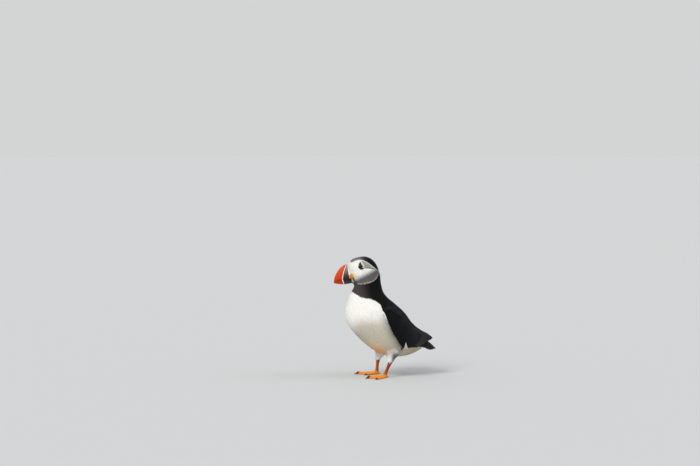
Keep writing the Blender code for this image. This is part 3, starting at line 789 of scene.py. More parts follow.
def thinned(places, gaps):
    """Numbers of the places that stay when none may be nearer to an earlier one than its gap."""
    size = float(gaps.max())
    cells, kept = {}, []
    keys = np.floor(places / size).astype(int)
    steps = [(i, j, k) for i in (-1, 0, 1) for j in (-1, 0, 1) for k in (-1, 0, 1)]
    rows = places.tolist()
    for number, ((x, y, z), gap, (i, j, k)) in enumerate(zip(rows, (gaps**2).tolist(), keys.tolist())):
        near = (cells.get((i + di, j + dj, k + dk), ()) for di, dj, dk in steps)
        if all((x - px) ** 2 + (y - py) ** 2 + (z - pz) ** 2 > gap for cell in near for px, py, pz in cell):
            cells.setdefault((i, j, k), []).append((x, y, z))
            kept.append(number)
    return np.array(kept)


def body_lie(t, angle):
    """The way feathers point: along the body from bill to tail."""
    before, after = (np.clip(t + step, 0, LAST_RING) for step in (-0.06, 0.06))
    return unit(body_at(after, angle) - body_at(before, angle))


def walked(cover, roots, out, lie, length, steps=2):
    """Feather lines that follow the surface from each root: points and their outward directions."""
    line, outs = [roots], [out]
    place, normal, heading = roots, out, lie
    for _ in range(steps):
        heading = unit(heading - normal * (heading * normal).sum(1, keepdims=True))
        ahead = place + heading * (length / steps)[:, None]
        place, normal = cover.settled(ahead, normal)
        line.append(place)
        outs.append(normal)
    return np.stack(line, 1), np.stack(outs, 1)


def unwrap(t, angle):
    """Where a place of the body lies on its unwrap: around the body, and along it."""
    return np.stack((0.5 + angle / (2 * math.pi), t / LAST_RING), axis=-1)


def fitted(uv):
    """Places on the unwrap spread over the middle of the unit square."""
    low, high = uv.min(0), uv.max(0)
    return 0.01 + 0.98 * (uv - low) / np.maximum(high - low, 1e-6)


SPACING, LENGTH, WIDTH = 1, 2, 3  # columns of the table below
# Feather sizes along the body, from the bill's base to the tail: ring, spacing, length and width
FEATHER_SIZES = np.array((
    (0.0, 0.42, 1.6, 0.70), (1.0, 0.50, 2.4, 0.95), (2.6, 0.55, 3.0, 1.05), (4.0, 0.62, 4.0, 1.25),
    (5.2, 0.72, 5.0, 1.80), (6.5, 0.85, 6.6, 2.60), (7.5, 0.95, 7.6, 3.10), (11.0, 1.00, 8.6, 3.40),
    (12.0, 1.00, 9.6, 3.40), (13.0, 0.90, 8.6, 3.00),
))
THIGH_SPACING, THIGH_LENGTH, THIGH_WIDTH, THIGH_DEPTH = 0.6, 4.0, 1.15, 0.9
BARE_ROUND_EYE = 3.4


def size_at(t, column):
    return np.interp(t, FEATHER_SIZES[:, 0], FEATHER_SIZES[:, column])


def body_spacing(places):
    t, _, height = on_body(places)
    return np.where(on_thigh(t, height + coat_depth(t)), THIGH_SPACING, size_at(t, SPACING))


def dress_body(skin, cover):
    """Contour feathers over the whole skin, each the colour of the markings where its tip shows."""
    roots, out = sown(skin, body_spacing)
    keep = ~covered(roots, out) & ~on_plates(roots)
    for name in ("left", "right"):
        keep &= round_eye(roots, name)[0] > BARE_ROUND_EYE
    roots, out = roots[keep], out[keep]
    t, angle, height = on_body(roots)
    thigh = on_thigh(t, height + coat_depth(t))
    lie = np.where(thigh[:, None], unit(np.array((0.0, -0.1, -1.0))), body_lie(t, angle))
    lie = unit(lie + rng.normal(0, 0.06, lie.shape))
    length = np.where(thigh, THIGH_LENGTH, size_at(t, LENGTH)) * rng.uniform(0.88, 1.12, len(roots))
    width = np.where(thigh, THIGH_WIDTH, size_at(t, WIDTH)) * rng.uniform(0.85, 1.15, len(roots))
    lift = np.where(thigh, THIGH_DEPTH, coat_depth(t)) * rng.normal(1.0, 0.035, len(roots))
    for name in ("left", "right"):  # feathers stop short of the eyelids
        gap, inward = round_eye(roots, name)
        towards = (lie * inward).sum(1)
        room = np.where(gap < 12, (gap - BARE_ROUND_EYE + 0.2) / np.maximum(towards, 0.2), 99.0)
        length = np.where(towards > 0.2, np.minimum(length, np.maximum(room, 0.5)), length)
    edge = inside(*np.moveaxis(unturned(roots, t)[:, 1:], -1, 0), FACE)
    length *= mix(0.42, 1.0, np.where(edge > 0, ease(edge / 4.0), 1.0))
    near_leg = nearness_to_legs(roots) * ~thigh
    length, width = length * (1 - 0.55 * near_leg), width * (1 - 0.62 * near_leg)
    cuff = roots[:, 2] - np.array([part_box("thigh_left")[0][2]]) / MM
    length = np.where(thigh, length * mix(0.45, 1.0, ease(cuff / 6)), length)
    line, outs = walked(cover, roots, out, lie, length)
    for share in (0.6, 0.35):
        over = np.flatnonzero(over_wings(line[:, 2]) | on_plates(line[:, 2]))
        length[over] *= share
        line[over], outs[over] = walked(cover, roots[over], out[over], lie[over], length[over])
    lift[over] *= 0.8
    gap, _ = line_distance(line[:, 2, 1], line[:, 2, 2], WING_LOWER[:6, :2] + SHIFT[1:])
    lift = lift * mix(0.55, 1.0, np.where(thigh, 1.0, ease(gap / 7)))
    stays = ~over_wings(line[:, 2]) & ~on_plates(line[:, 2])
    stays &= ((gap > 1.5) | thigh) & ~(thigh & (out[:, 2] < -0.75))
    climb = on_body(line[:, 2])[2] - height  # none may climb from the back on to a wing
    stays &= (climb < 1.2) | thigh | (roots[:, 1] < 14)
    shown = mix(line[:, 1], line[:, 2], 0.6)
    shown_t = on_body(shown)[0]
    colour = plumage_colour(unturned(shown, shown_t), 0.3)
    colour = np.where(thigh[:, None], leg_colour(shown), colour)
    colour = colour * rng.normal(1, 0.03, (len(roots), 1))
    batch = Vanes(line, outs, width, lift, colour, unwrap(t, angle))[stays]
    t, angle, thigh = t[stays], angle[stays], thigh[stays]
    left, belly_side = angle > 0, np.abs(angle) < 1.6
    for name, members, kind, slot in (
        ("face", t < 2.6, "hair", "face_plumage"),
        ("neck", (t >= 2.6) & (t < 5.6), "hair", "black_plumage"),
        ("collar", (t >= 5.6) & (t < 7.2), "collar", "white_plumage"),
        ("breast", (t >= 7.2) & (t < 9.0) & belly_side, "breast", "white_plumage"),
        ("belly", (t >= 9.0) & belly_side, "breast", "white_plumage"),
        ("back", (t >= 7.2) & ~belly_side, "back", "black_plumage"),
    ):
        for side_name, on_side in (("left", left), ("right", ~left)):
            part = batch[members & on_side & ~thigh]
            piece = feather_piece(f"coat_{name}_{side_name}", part, kind)
    for side_name, on_side in (("left", left), ("right", ~left)):
        part = batch[thigh & on_side]
        places = part.line[:, 0]
        middle = places.mean(0)
        turn = np.arctan2(places[:, 0] - middle[0], places[:, 1] - middle[1]) / (2 * math.pi)
        part.root_uv = np.stack((turn, places[:, 2]), -1)
        piece = feather_piece(f"coat_thigh_{side_name}", part, "thigh")


def round_eye(places, name):
    """How far places lie from the eye's own line, 99 on the head's other side, and the way towards it."""
    middle = node_middle("eye_" + name)
    out, _, _ = ring_axes(middle)
    gap = middle - places
    inward = gap - out * (gap @ out)[:, None]
    distance = np.where(np.linalg.norm(gap, axis=1) < 16, np.linalg.norm(inward, axis=1), 99.0)
    return distance, unit(inward)


def on_plates(places):
    """True where a place lies on a plate beside an eye."""
    plain = unturned(places, np.zeros(len(places)))
    y, z = plain[:, 1] - EYE_PLACE[1], plain[:, 2] - EYE_PLACE[2]
    near = np.maximum(inside(y, z, BROW_PLATE), inside(y, z, UNDER_PLATE)) > -0.15
    return near & (np.abs(plain[:, 0]) > 10)


def nearness_to_legs(places):
    """1 where a thigh leaves the belly, 0 far from it."""
    found = np.zeros(len(places))
    for name in ("left", "right"):
        low, high = (corner / MM for corner in map(np.array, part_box("thigh_" + name)))
        middle = np.array(((low[0] + high[0]) / 2, mix(low[1], high[1], 0.6), high[2]))
        found = np.maximum(found, np.exp(-(((places - middle) / (12, 14, 14)) ** 2).sum(1)))
    return found


def over_wings(places):
    """True where a place is on top of a wing, or under it."""
    found = np.zeros(len(places), bool)
    for k, (x, y, z) in enumerate(places):
        hit = WINGS.ray_cast(*from_side(math.copysign(1.0, x), y, z))[0]
        found[k] = hit is not None and abs(hit.x - x) < 7
    return found


def covered(places, out):
    """True where a wing lies over the body; skin that faces up between the wings stays open."""
    found = np.zeros(len(places), bool)
    for k, p in enumerate(places):
        sideways = Vector((math.copysign(1.0, p[0]), 0, 0))
        beside = abs(p[0]) > 4 and WINGS.ray_cast(Vector(p), sideways, 30)[0] is not None
        behind = p[1] > 20 and out[k, 2] > 0.15
        found[k] = beside and not (behind and WINGS.ray_cast(Vector(p), Vector(out[k]), 12)[0] is None)
    return found


# Wings and tail


def wing_line(u, v):
    """(y, z, reach) on the folded wing for arrays u, wrist to tip, and v, lower to upper edge."""
    last = len(WING_LOWER) - 1
    return mix(curve_at(WING_LOWER, u * last), curve_at(WING_UPPER, u * last), np.asarray(v)[..., None])


class WingFace:
    """The folded wing's outer face, drawn smooth, with a margin all round it, for feathers to lie on."""

    def __init__(self, cover, side):
        self.u, self.v = np.linspace(-0.1, 1.2, 53), np.linspace(-0.15, 1.15, 27)
        u, v = np.meshgrid(self.u, self.v, indexing="ij")
        flat = wing_line(np.clip(u, 0, 1), v)
        past = (u - np.clip(u, 0, 1))[..., None] * WING_LENGTH * unit(np.array((0.86, -0.5)))
        y, z = np.moveaxis(flat[..., :2] + past + SHIFT[1:], -1, 0)
        found = side * flat[..., 2] + SHIFT[0]
        reach, on_wing = cover.beside(side, y, z)
        beside_wing = ~on_wing & (np.abs(side * reach - found) < 9)
        found = np.where(on_wing | beside_wing, side * reach + side * beside_wing, found)
        x = found
        for _ in range(8):
            wide = np.pad(x, 1, mode="edge")
            around = (wide[2:, 1:-1] + wide[:-2, 1:-1] + wide[1:-1, 2:] + wide[1:-1, :-2]) / 4
            x = side * np.maximum(side * mix(x, around, 0.6), side * found - 0.3)
        self.places = np.stack((x, y, z), -1)
        du, dv = (np.gradient(self.places, axis=k) for k in (0, 1))
        out = np.cross(du, dv)
        out = unit(out * np.sign(out[..., :1] * side)) + np.array((side * 0.4, 0, 0))
        self.out = unit(out)

    def at(self, u, v):
        """Places and outward directions for arrays u, wrist to tip, and v, lower to upper edge."""
        i = np.clip((u - self.u[0]) / (self.u[1] - self.u[0]), 0, len(self.u) - 1.001)
        j = np.clip((v - self.v[0]) / (self.v[1] - self.v[0]), 0, len(self.v) - 1.001)
        m, n = i.astype(int), j.astype(int)
        a, b = (i - m)[..., None], (j - n)[..., None]

        def between(grid):
            return mix(mix(grid[m, n], grid[m + 1, n], a), mix(grid[m, n + 1], grid[m + 1, n + 1], a), b)
        return between(self.places), unit(between(self.out))


def wing_row(face, u, v, length, width, lift, tint, drop=0.0, base=0.2, samples=5):
    """Feathers of one wing row, with roots at shares u and v, drifting towards the lower edge by drop."""
    s = np.linspace(0, 1, samples)
    path_u = u[:, None] + (length / WING_LENGTH)[:, None] * s
    path_v = v[:, None] - drop * s * v[:, None]
    line, out = face.at(path_u, path_v)
    return Vanes(line, out, width, lift, tint, np.stack((u, v), -1), base)


def staggered(u0, u1, rows, v0, v1, columns):
    """Roots in rows, every second row shifted by half a feather."""
    u, v = np.meshgrid(np.linspace(u0, u1, rows), np.linspace(v0, v1, columns), indexing="ij")
    v = v + (np.arange(rows) % 2)[:, None] * (v1 - v0) / (columns - 1) / 2
    u, v = u.ravel() + rng.normal(0, 0.004, u.size), v.ravel() + rng.normal(0, 0.01, u.size)
    return u, np.clip(v, v0, v1)


def black_tint(count, colour, spread=0.12):
    return colour * rng.normal(1, spread, (count, 1))


def dress_wing(face, name):
    """Coverts in shingled rows, then greater coverts, secondaries and primaries out to the tip."""
    u, v = staggered(0.0, 0.42, 26, 0.0, 1.0, 24)
    chord = np.linalg.norm(wing_line(u, 1.0)[:, :2] - wing_line(u, 0.0)[:, :2], axis=1)
    v = mix(np.minimum(2.6 / np.maximum(chord, 4.0), 0.5), 1.0, v)  # sides stay behind the wing's edge
    small = wing_row(face, u, v, 8.5 + 0 * u, 4.4, 0.8, black_tint(len(u), WING_BLACK), base=0.2, samples=4)
    piece = feather_piece(f"coverts_small_{name}", small, "covert")

    batches = []
    brown = srgb("29282a")
    rows = (
        # root u, first and last v, count, length of the first and the last, width, lift, base, drop, colour
        (0.62, 0.11, 0.96, 10, 30, 48, 8.0, 0.5, 0.0, 0.30, brown),
        (0.50, 0.11, 0.84, 11, 26, 36, 9.0, 0.5, 0.3, 0.22, WING_BLACK),
        (0.42, 0.10, 0.94, 14, 17, 23, 8.0, 0.5, 0.5, 0.10, WING_BLACK),
        (0.35, 0.08, 1.00, 18, 12, 14, 6.4, 0.6, 0.6, 0.05, WING_BLACK),
    )
    for start, v0, v1, count, short, long, width, lift, base, drop, colour in rows:
        v = np.linspace(v0, v1, count)
        share = (v - v0) / (v1 - v0)
        length = mix(short, long, share)
        u = start + 0.02 * np.sin(share * math.pi) + rng.normal(0, 0.002, count)
        tint = black_tint(count, colour, 0.06)
        rise = base + 0.25 * share  # each feather lies over the one below it
        batches.append(wing_row(face, u, v, length, width, lift, tint, drop, rise, 9))
    piece = feather_piece(f"flight_feathers_{name}", joined(batches), "flight")
    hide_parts("wing_" + name)


def dress_shoulder(cover, face, name, side):
    """Scapulars: long rows from the shoulder that hide the wing's upper edge, the innermost on top."""
    batches = []
    rows = ((-5.0, 0.0, 0.40), (0.0, 0.0, 0.41), (4.5, 0.0, 0.42), (9.0, 0.02, 0.42))
    for number, (inward, first, last) in enumerate(rows):
        u = np.linspace(first, last, 15) + number % 2 * 0.015 + rng.normal(0, 0.004, 15)
        place, out = face.at(u, np.full(15, 0.97))
        ahead = face.at(u + 0.03, np.full(15, 0.97))[0]
        lie = unit(ahead - place)
        over = unit(np.cross(lie, out)) * side
        over = over * np.sign((over * np.array((-side, 0, 1.0))).sum(1, keepdims=True))
        travel, steps = inward + rng.normal(0, 0.4, 15), 3
        for _ in range(steps):
            place, out = cover.settled(place + over * (travel / steps)[:, None], out)
            over = unit(over - out * (over * out).sum(1, keepdims=True))
        length = np.interp(u, (0, 0.2, 0.45), (11, 15, 16))
        line, outs = walked(cover, place, out, lie, length, 4)
        tint = black_tint(15, BLUE_BLACK, 0.08)
        base = (0.3 + 0.15 * number) * (1 - 2.3 * u)
        root_uv = np.stack((u, inward / 40 + 0 * u), -1)
        batches.append(Vanes(line, outs, 7.5, 0.9 - 1.5 * u, tint, root_uv, base))
    piece = feather_piece(f"scapulars_{name}", joined(batches), "scapular")


def dress_wing_front(cover, name, side):
    """White flank feathers that close over the folded wing's front edge and end in a soft jagged border."""
    batches, count, last = [], 120, len(WING_LOWER) - 1
    for number, offset in enumerate((-6.5, -5.5, -4.5, -3.5, -2.5, -1.5)):
        u = np.linspace(0.05, 0.51, count) + number % 2 * 0.003 + rng.normal(0, 0.0015, count)
        s = np.linspace(0, 1, 6)
        path = u[:, None] + (rng.uniform(6.0, 8.5, (count, 1)) / WING_LENGTH) * s
        off = offset + rng.normal(0, 0.2, (count, 1)) + (1.4 + rng.uniform(0, 1.2, (count, 1))) * s**1.5
        edge, ahead = (curve_at(WING_LOWER, path * last + step)[..., :2] for step in (0, 0.1))
        d = unit(ahead - edge)
        flat = edge + np.stack((-d[..., 1], d[..., 0]), -1) * off[..., None]
        y, z = np.moveaxis(flat + SHIFT[1:], -1, 0)
        x, on_wing = cover.beside(side, y, z)
        x = x + np.where(on_wing, 1.6, 1.9)
        for _ in range(3):
            x = np.maximum(evened(x, 0.7), x - 0.2)
        line = np.stack((side * x, y, z), -1)
        out = np.broadcast_to(unit(np.array((side, -0.25, -0.1))), line.shape)
        place = line[:, 0] - (SHIFT[0], 0, 0)
        plain = np.stack((place[:, 0], y[:, 0] - SHIFT[1], z[:, 0]), -1)
        plain[:, 2] = np.minimum(plain[:, 2], border_height(plain[:, 1]) - 3.0)
        tint = plumage_colour(plain) * rng.normal(0.98, 0.03, (count, 1))
        # painted shade: the rows nearest the wing's edge turn grey, low on the flank
        shade = (0.0, 0.0, 0.05, 0.12, 0.25, 0.45)[number] * ease((104 - z[:, :1]) / 20)
        tint, root_uv = mix(tint, WING_SHADE_GREY, shade), np.stack((u, 0 * u + offset / 40), -1)
        batches.append(Vanes(line, out, 2.3, 1.1, tint, root_uv, -1.0 + 0.05 * number))
    piece = feather_piece(f"flank_edge_{name}", joined(batches), "flank")


def dress_flank(cover, name, side):
    """A wisp of long white feathers blown up over the wing's lower edge, and before it a tuft of black
    feathers that stands in for a shadow.
    """
    def tuft(start_y, start_z, end_y, end_z, width, tint, base, lift):
        s = np.linspace(0, 1, 12)
        y = mix(start_y[:, None], end_y[:, None], s) + SHIFT[1]
        z = mix(start_z[:, None], end_z[:, None], s) + SHIFT[2]
        x, on_wing = cover.beside(side, y, z)
        x = x + np.where(on_wing, 3.0, 2.0)
        for _ in range(12):
            x = np.maximum(evened(x, 0.7), x - 0.1)
        line = np.stack((side * x, y, z), -1)
        out = np.broadcast_to(unit(np.array((side, 0.1, 0))), line.shape)
        return Vanes(line, out, width, lift, tint, np.stack((start_y, start_z), -1), base)

    count = 26
    share = np.linspace(0, 1, count)
    start_y = mix(34.0, 43.5, share) + rng.normal(0, 0.3, count)
    end_y = mix(32.8, 37.5, share) + rng.normal(0, 0.3, count)
    end_z = 62.5 - 11.0 * share - rng.uniform(0, 3.5, count)
    tint = mix(WHITE, CREAM_WHITE, 0.5) * rng.normal(0.95, 0.03, (count, 1))
    wisp = tuft(start_y, 46.2 + rng.uniform(-0.8, 1.2, count), end_y, end_z, 1.5, tint, -1.8, 2.4)
    piece = feather_piece(f"flank_wisp_{name}", wisp, "wisp")

    # black feathers laid as a painted shadow between the flank and the wisp
    count = 8
    share = np.linspace(0, 1, count)
    start_y = mix(31.5, 34.0, share) + rng.normal(0, 0.2, count)
    end_y = mix(26.6, 29.6, share) + rng.normal(0, 0.3, count)
    end_z = mix(44.2, 48.0, share) + rng.uniform(-0.5, 1.5, count)
    dark = tuft(start_y, 57.0 + 0 * share, end_y, end_z, 1.4, black_tint(count, WING_BLACK), -0.4, 0.6)
    piece = feather_piece(f"flank_shadow_tuft_{name}", dark, "wisp")


def wing_plate(name, skin):
    """The arm under the coverts: the solid's shape, thinner, with its front edge let into the flank."""
    bm = bmesh.new()
    bm.from_mesh(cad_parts["wing_" + name].data)
    bmesh.ops.remove_doubles(bm, verts=bm.verts, dist=0.00001)
    bm.normal_update()
    for vert in bm.verts:
        vert.co -= vert.normal * 0.45 * MM
    flank = tree_of(skin)
    places = np.array([vert.co for vert in bm.verts]) / MM
    gap, _ = line_distance(places[:, 1], places[:, 2], WING_LOWER[:7, :2] + SHIFT[1:])
    for vert, (x, y, z), share in zip(bm.verts, places, ease(1 - gap / 7.0)):
        side = math.copysign(1.0, x)
        hit = flank.ray_cast(*from_side(side, y, z))[0]
        if hit is not None:
            vert.co.x = mix(x, side * min(side * x, side * hit.x + 1.2), share) * MM
    mesh = bpy.data.meshes.new("wing_arm_" + name)
    bm.to_mesh(mesh)
    bm.free()
    piece = piece_of(mesh, "wing_arm_" + name, "skin", BLUE_BLACK)
    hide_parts("wing_" + name)
    return mesh


def tail_at(u, across):
    """Places on the tail's upper face: u along it in rows of TAIL, across from -1, its right edge, to 1."""
    row = curve_at(TAIL, u)
    widest = TAIL[:, 2].max()
    half_width = np.where(u < 4, row[..., 2], widest)
    x = half_width * across
    droop = row[..., 3] * np.minimum((x / row[..., 2]) ** 2, 1.2)
    return np.stack((x, row[..., 0], row[..., 1] - droop), -1) + SHIFT


def dress_tail():
    """Sixteen tail feathers folded into a roof, the middle pair on top; the outer ones end earlier."""
    across = np.linspace(-0.94, 0.94, 16)
    across = across[np.argsort(-np.abs(across))]
    reach = np.interp(np.abs(across) * TAIL[:, 2].max(), TAIL[:3:-1, 2], np.arange(7, 3, -1))
    reach = reach - 0.4 * across**2
    u = np.linspace(0, 1, 9) * reach[:, None]
    across = across[:, None] + 0 * u
    line = tail_at(u, across)
    ahead, aside = tail_at(u + 0.05, across) - line, tail_at(u, across + 0.05) - line
    out = unit(np.cross(aside, ahead))
    out = out * np.sign(out[..., 2:])
    base = 0.9 * (1 - np.abs(across[:, 0])) - 0.7
    tint = black_tint(16, srgb("171513"), 0.05)
    tail = Vanes(line, out, 6.8, 0.1, tint, np.stack((across[:, 0], reach), -1), base)
    piece = feather_piece("tail_feathers", tail, "tail")
    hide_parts("tail")


# Bill


def bill_outlines(s):
    """Culmen, mouth and lower edge of the bill, each (y, z), for growth lines s from base, 0, to tip, 1."""
    angle = math.pi / 2 * s**3.4
    tip_y, tip_z = GAPE[0] - BILL_TOP_BACK - CULMEN_LENGTH, GAPE[1] - 8.0
    top = (
        GAPE[0] - BILL_TOP_BACK - CULMEN_LENGTH * np.sin(angle) ** (2 / CULMEN_FULLNESS),
        tip_z + CULMEN_HEIGHT * np.abs(np.cos(angle)) ** (2 / CULMEN_FULLNESS),
    )
    mouth = (mix(GAPE[0], tip_y, s), mix(GAPE[1], tip_z, s**1.35) + 0.9 * np.sin(math.pi * s))
    under = (
        mix(GAPE[0] + 1.2, tip_y + 1.0, s),
        mix(GAPE[1] - CHIN_DEPTH, tip_z - 0.9, s) - 2.0 * np.sin(math.pi * s) ** 0.8,
    )
    return top, mouth, under


def bill_half_width(s):
    return 0.9 + (BILL_HALF_WIDTH - 0.9) * (1 - s) ** 0.72


def groove(s, places, width):
    """1 in the middle of each groove and 0 away from them."""
    return sum(bell((s - place) / width) for place in places)


BILL_GROOVES = (0.585, 0.73, 0.86)
CHEVRON = (0.415, 0.465)
CHEVRON_BULGE = 0.06


def horn_colour(s, v):
    """Colours of the bill: slate at the base, a cream chevron, then orange-red, with painted shade in its
    grooves and towards the mouth.
    """
    red, orange, deep = srgb("cb3508"), srgb("e25a0a"), srgb("861006")
    slate, slate_low = srgb("88827a"), srgb("2a1317")
    colour = blend(red, orange, ease(v * 0.9) * 0.6 + 0.25 * np.sin(s * 55) ** 2)
    # painted shade in the grooves
    colour = blend(colour, deep, np.clip(groove(s, BILL_GROOVES, 0.016), 0, 1) * 0.85)
    # painted shade: the horn darkens towards the mouth
    colour = blend(colour, deep, ease((0.25 - v) / 0.3) * 0.5)
    colour = blend(colour, deep, ease((CHEVRON[1] + 0.075 - s) / 0.05) * 0.6)
    # painted shade: the slate is darker low down
    base = blend(slate_low, slate, ease(v * 1.1))
    base = blend(base, srgb("8f8d86"), ease((v - 0.7) / 0.3) * 0.6)
    colour = blend(colour, base, ease((CHEVRON[0] - s) / 0.02 + 0.5))
    cream = ease((s - CHEVRON[0]) / 0.012 + 0.5) * ease((CHEVRON[1] - s) / 0.012 + 0.5)
    return blend(colour, srgb("ffeedd"), cream)


def bill_surface(upper, rows, columns):
    """Points on the left side of the upper or lower bill, in rows from base to tip, and their colours."""
    s = np.linspace(CERE_SHARE + 0.012, 0.997, rows) if upper else np.linspace(0.02, 0.98, rows)
    v = np.linspace(0, 1, columns) ** 0.9
    s, v = np.meshgrid(s, v, indexing="ij")
    top, mouth, under = bill_outlines(s)
    width = bill_half_width(s)
    if upper:
        bow = 1.6 * np.sin(math.pi * v) * np.sin(math.pi * s)
        x = width * (1 - 0.85 * v**1.5)
        y, z = mix(mouth[0], top[0], v) - bow, mix(mouth[1], top[1], v)
    else:
        x = width * np.interp(v, (0, 0.35, 0.7, 0.93, 1), (1.0, 0.97, 0.85, 0.5, 0.2))
        y, z = mix(mouth[0], under[0], v), mix(mouth[1] - 0.3, under[1], v)
    s = s - CHEVRON_BULGE * (1 - v) ** 1.3  # from here on, growth lines bow forward towards the mouth
    relief = -0.42 * groove(s, BILL_GROOVES, 0.011) + 0.12 * np.sin((s - 0.5) * 90) * (s > 0.5)
    relief += 0.32 * ease((s - CHEVRON[0]) / 0.01 + 0.5) * ease((CHEVRON[1] - s) / 0.01 + 0.5)
    relief -= 0.25 * ease((CHEVRON[0] - s) / 0.03) * np.sin(math.pi * np.clip(v, 0, 1))
    # the lower bill takes the colours of the bill's lowest band, so it is painted in shade all over
    colour = horn_colour(s, v if upper else v * 0.25)
    if upper:
        slit = bell((v - 0.10) / 0.02) * ease((s - 0.1) / 0.04) * ease((0.26 - s) / 0.04)
        relief -= 0.7 * slit
        # painted shade: the nostril slit is near-black inside
        colour = blend(colour, srgb("120e10"), slit)
    x = np.maximum(x + relief * (1 - v**4), 0.05)
    z = z + relief * 0.5 * v**3 * (1 if upper else -1)
    return np.stack((x, y - relief * 0.4 * v**3, z), -1), colour


def closed_shell(name, left, colour, material):
    """A closed piece from a grid of points on the left side and its mirror image."""
    right = left[:, ::-1] * np.array((-1, 1, 1))
    points = turned(np.concatenate((left, right), axis=1)) + SHIFT
    colours = np.concatenate((colour, colour[:, ::-1]), axis=1)
    rows, columns = points.shape[:2]
    faces = grid_faces(rows, columns, around=True)
    return new_piece(name, points, faces, material, colours, closed=grid_ends(rows, columns))


def rooted(places, colour, depth):
    """A horn sheath with a narrower root added at its base, running back into the head."""
    middle = places[:1].mean(1, keepdims=True)
    root = middle + (places[:1] - middle) * (1, 0.9, 0.9)
    root = root * (0.86, 1, 1) + (0, depth, 0)
    return np.concatenate((root, places)), np.concatenate((colour[:1], colour))


def make_bill():
    """The two horn sheaths, each with a root that runs back into the head."""
    for name, upper in (("bill_horn_upper", True), ("bill_horn_lower", False)):
        left, colour = bill_surface(upper, 150, 40 if upper else 24)
        left, colour = rooted(left, colour, 3.2)
        piece = closed_shell(name, left, colour, "horn")
        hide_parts("bill_upper" if upper else "bill_lower")


def make_cere():
    """The pale, wrinkled ridge round the bill's base."""
    s, v = np.meshgrid(np.linspace(0.0, CERE_SHARE + 0.004, 26), np.linspace(0, 1, 60), indexing="ij")
    top, mouth, _ = bill_outlines(s)
    share = s / (CERE_SHARE + 0.004)
    swell = 0.5 + 0.5 * np.abs(np.sin(share * 2 * math.pi)) ** 0.7
    ridge = 0.95 * swell * (0.85 + 0.15 * np.sin(v * 95 + 3 * np.sin(v * 31))) * ease((1.02 - v) / 0.12)
    ridge = ridge * ease((1.0 - share) / 0.08 + 0.1) + 0.1
    x = bill_half_width(s) * (1 - 0.85 * v**1.5) + ridge
    bow = 1.6 * np.sin(math.pi * v) * np.sin(math.pi * s)
    places = np.stack((x, mix(mouth[0], top[0], v) - bow, mix(mouth[1], top[1], v) + ridge * v), -1)
    # painted shade: the cere is darker where its wrinkles sink
    colour = blend(srgb("fffaf0"), srgb("ece4d4"), np.clip(1.35 - ridge * 1.7, 0, 1))
    colour = blend(colour, srgb("8d7f74"), ease((0.3 - v) / 0.2) * 0.6)
    places, colour = rooted(places, colour, 3.0)
    piece = closed_shell("cere_pad", places, colour, "cream")
    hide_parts("cere")


# Eyes and face pieces


def ring_axes(middle):
    """Outward, forward and up at an eye, from the head's surface there."""
    t, angle, _ = on_body([middle])
    around = body_at(t, angle + 0.03) - body_at(t, angle - 0.03)
    out = unit(np.cross(around, body_at(t + 0.05, angle) - body_at(t - 0.05, angle)))[0]
    head_middle = turned(np.array((0.0, -30.0, 180.0))) + SHIFT
    out = out * np.sign(out @ (middle - head_middle))
    up = unit(np.array((0, 0, 1.0)) - out * out[2])
    return out, up, np.cross(up, out)


# Section of the eyelids from the rim outwards: distance from the eye's line, height over its middle
EYELID = np.array((
    (2.8, 3.1), (2.4, 3.65), (2.4, 4.05), (2.6, 4.2), (2.9, 4.1), (3.2, 3.75),
    (3.5, 3.3), (3.9, 2.8), (4.5, 2.1), (5.0, 1.2), (4.4, 0.6),
))


def make_eye(name):
    """The eyeball, and the lids that hug it and run out under the feathers of the face."""
    middle = node_middle("eye_" + name)
    out, up, across = ring_axes(middle)
    polar, turn = np.linspace(0.01, math.pi - 0.01, 38), np.linspace(0, 2 * math.pi, 64, endpoint=False)
    polar, turn = np.meshgrid(polar, turn, indexing="ij")
    dome = EYE_RADIUS + 0.25 * bell(polar / 0.55)
    ring = across * np.cos(turn)[..., None] + up * np.sin(turn)[..., None]
    places = middle + dome[..., None] * (out * np.cos(polar)[..., None] + ring * np.sin(polar)[..., None])
    radius = EYE_RADIUS * np.sin(polar)
    iris = blend(srgb("1a110d"), srgb("2e1e17"), 0.5 + 0.5 * np.sin(turn * 23) * np.sin(polar * 40))
    colour = blend(iris, srgb("020202"), ease((1.9 - radius) / 0.25 + 0.5))
    colour = blend(colour, srgb("0a0806"), ease((radius - 3.1) / 0.5))
    faces = grid_faces(*polar.shape, around=True)[:, ::-1]
    piece = new_piece(f"eyeball_{name}", places, faces, "eye", colour, closed=grid_ends(*polar.shape))
    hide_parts("eye_" + name)

    # a fleshy red ring on the lids' rim, and grey skin outside it
    turn = np.linspace(0, 2 * math.pi, 96, endpoint=False)
    profile = curve_at(EYELID, np.linspace(0, len(EYELID) - 1, 34))
    wrinkle = 0.05 * np.sin(turn * 21) + 0.03 * np.sin(turn * 34 + 1)
    opening = 1 + 0.04 * np.cos(2 * turn)
    radius = profile[:, :1] * opening + wrinkle * 0.5
    height = profile[:, 1:] + wrinkle * bell((profile[:, :1] - 3.6) / 0.8)
    ring = across * np.cos(turn)[:, None] + up * np.sin(turn)[:, None]
    places = middle + radius[..., None] * ring[None] + height[..., None] * out
    far = profile[:, :1] + 0 * turn
    colour = blend(np.broadcast_to(srgb("5c150d"), places.shape), srgb("1d191b"), ease((far - 3.0) / 0.2))
    colour = blend(colour, srgb("c9c4c0"), ease((far - 3.55) / 0.3))
    faces = grid_faces(*places.shape[:2], around=True)
    piece = new_piece(f"eyelids_{name}", places, faces, "rim", colour)


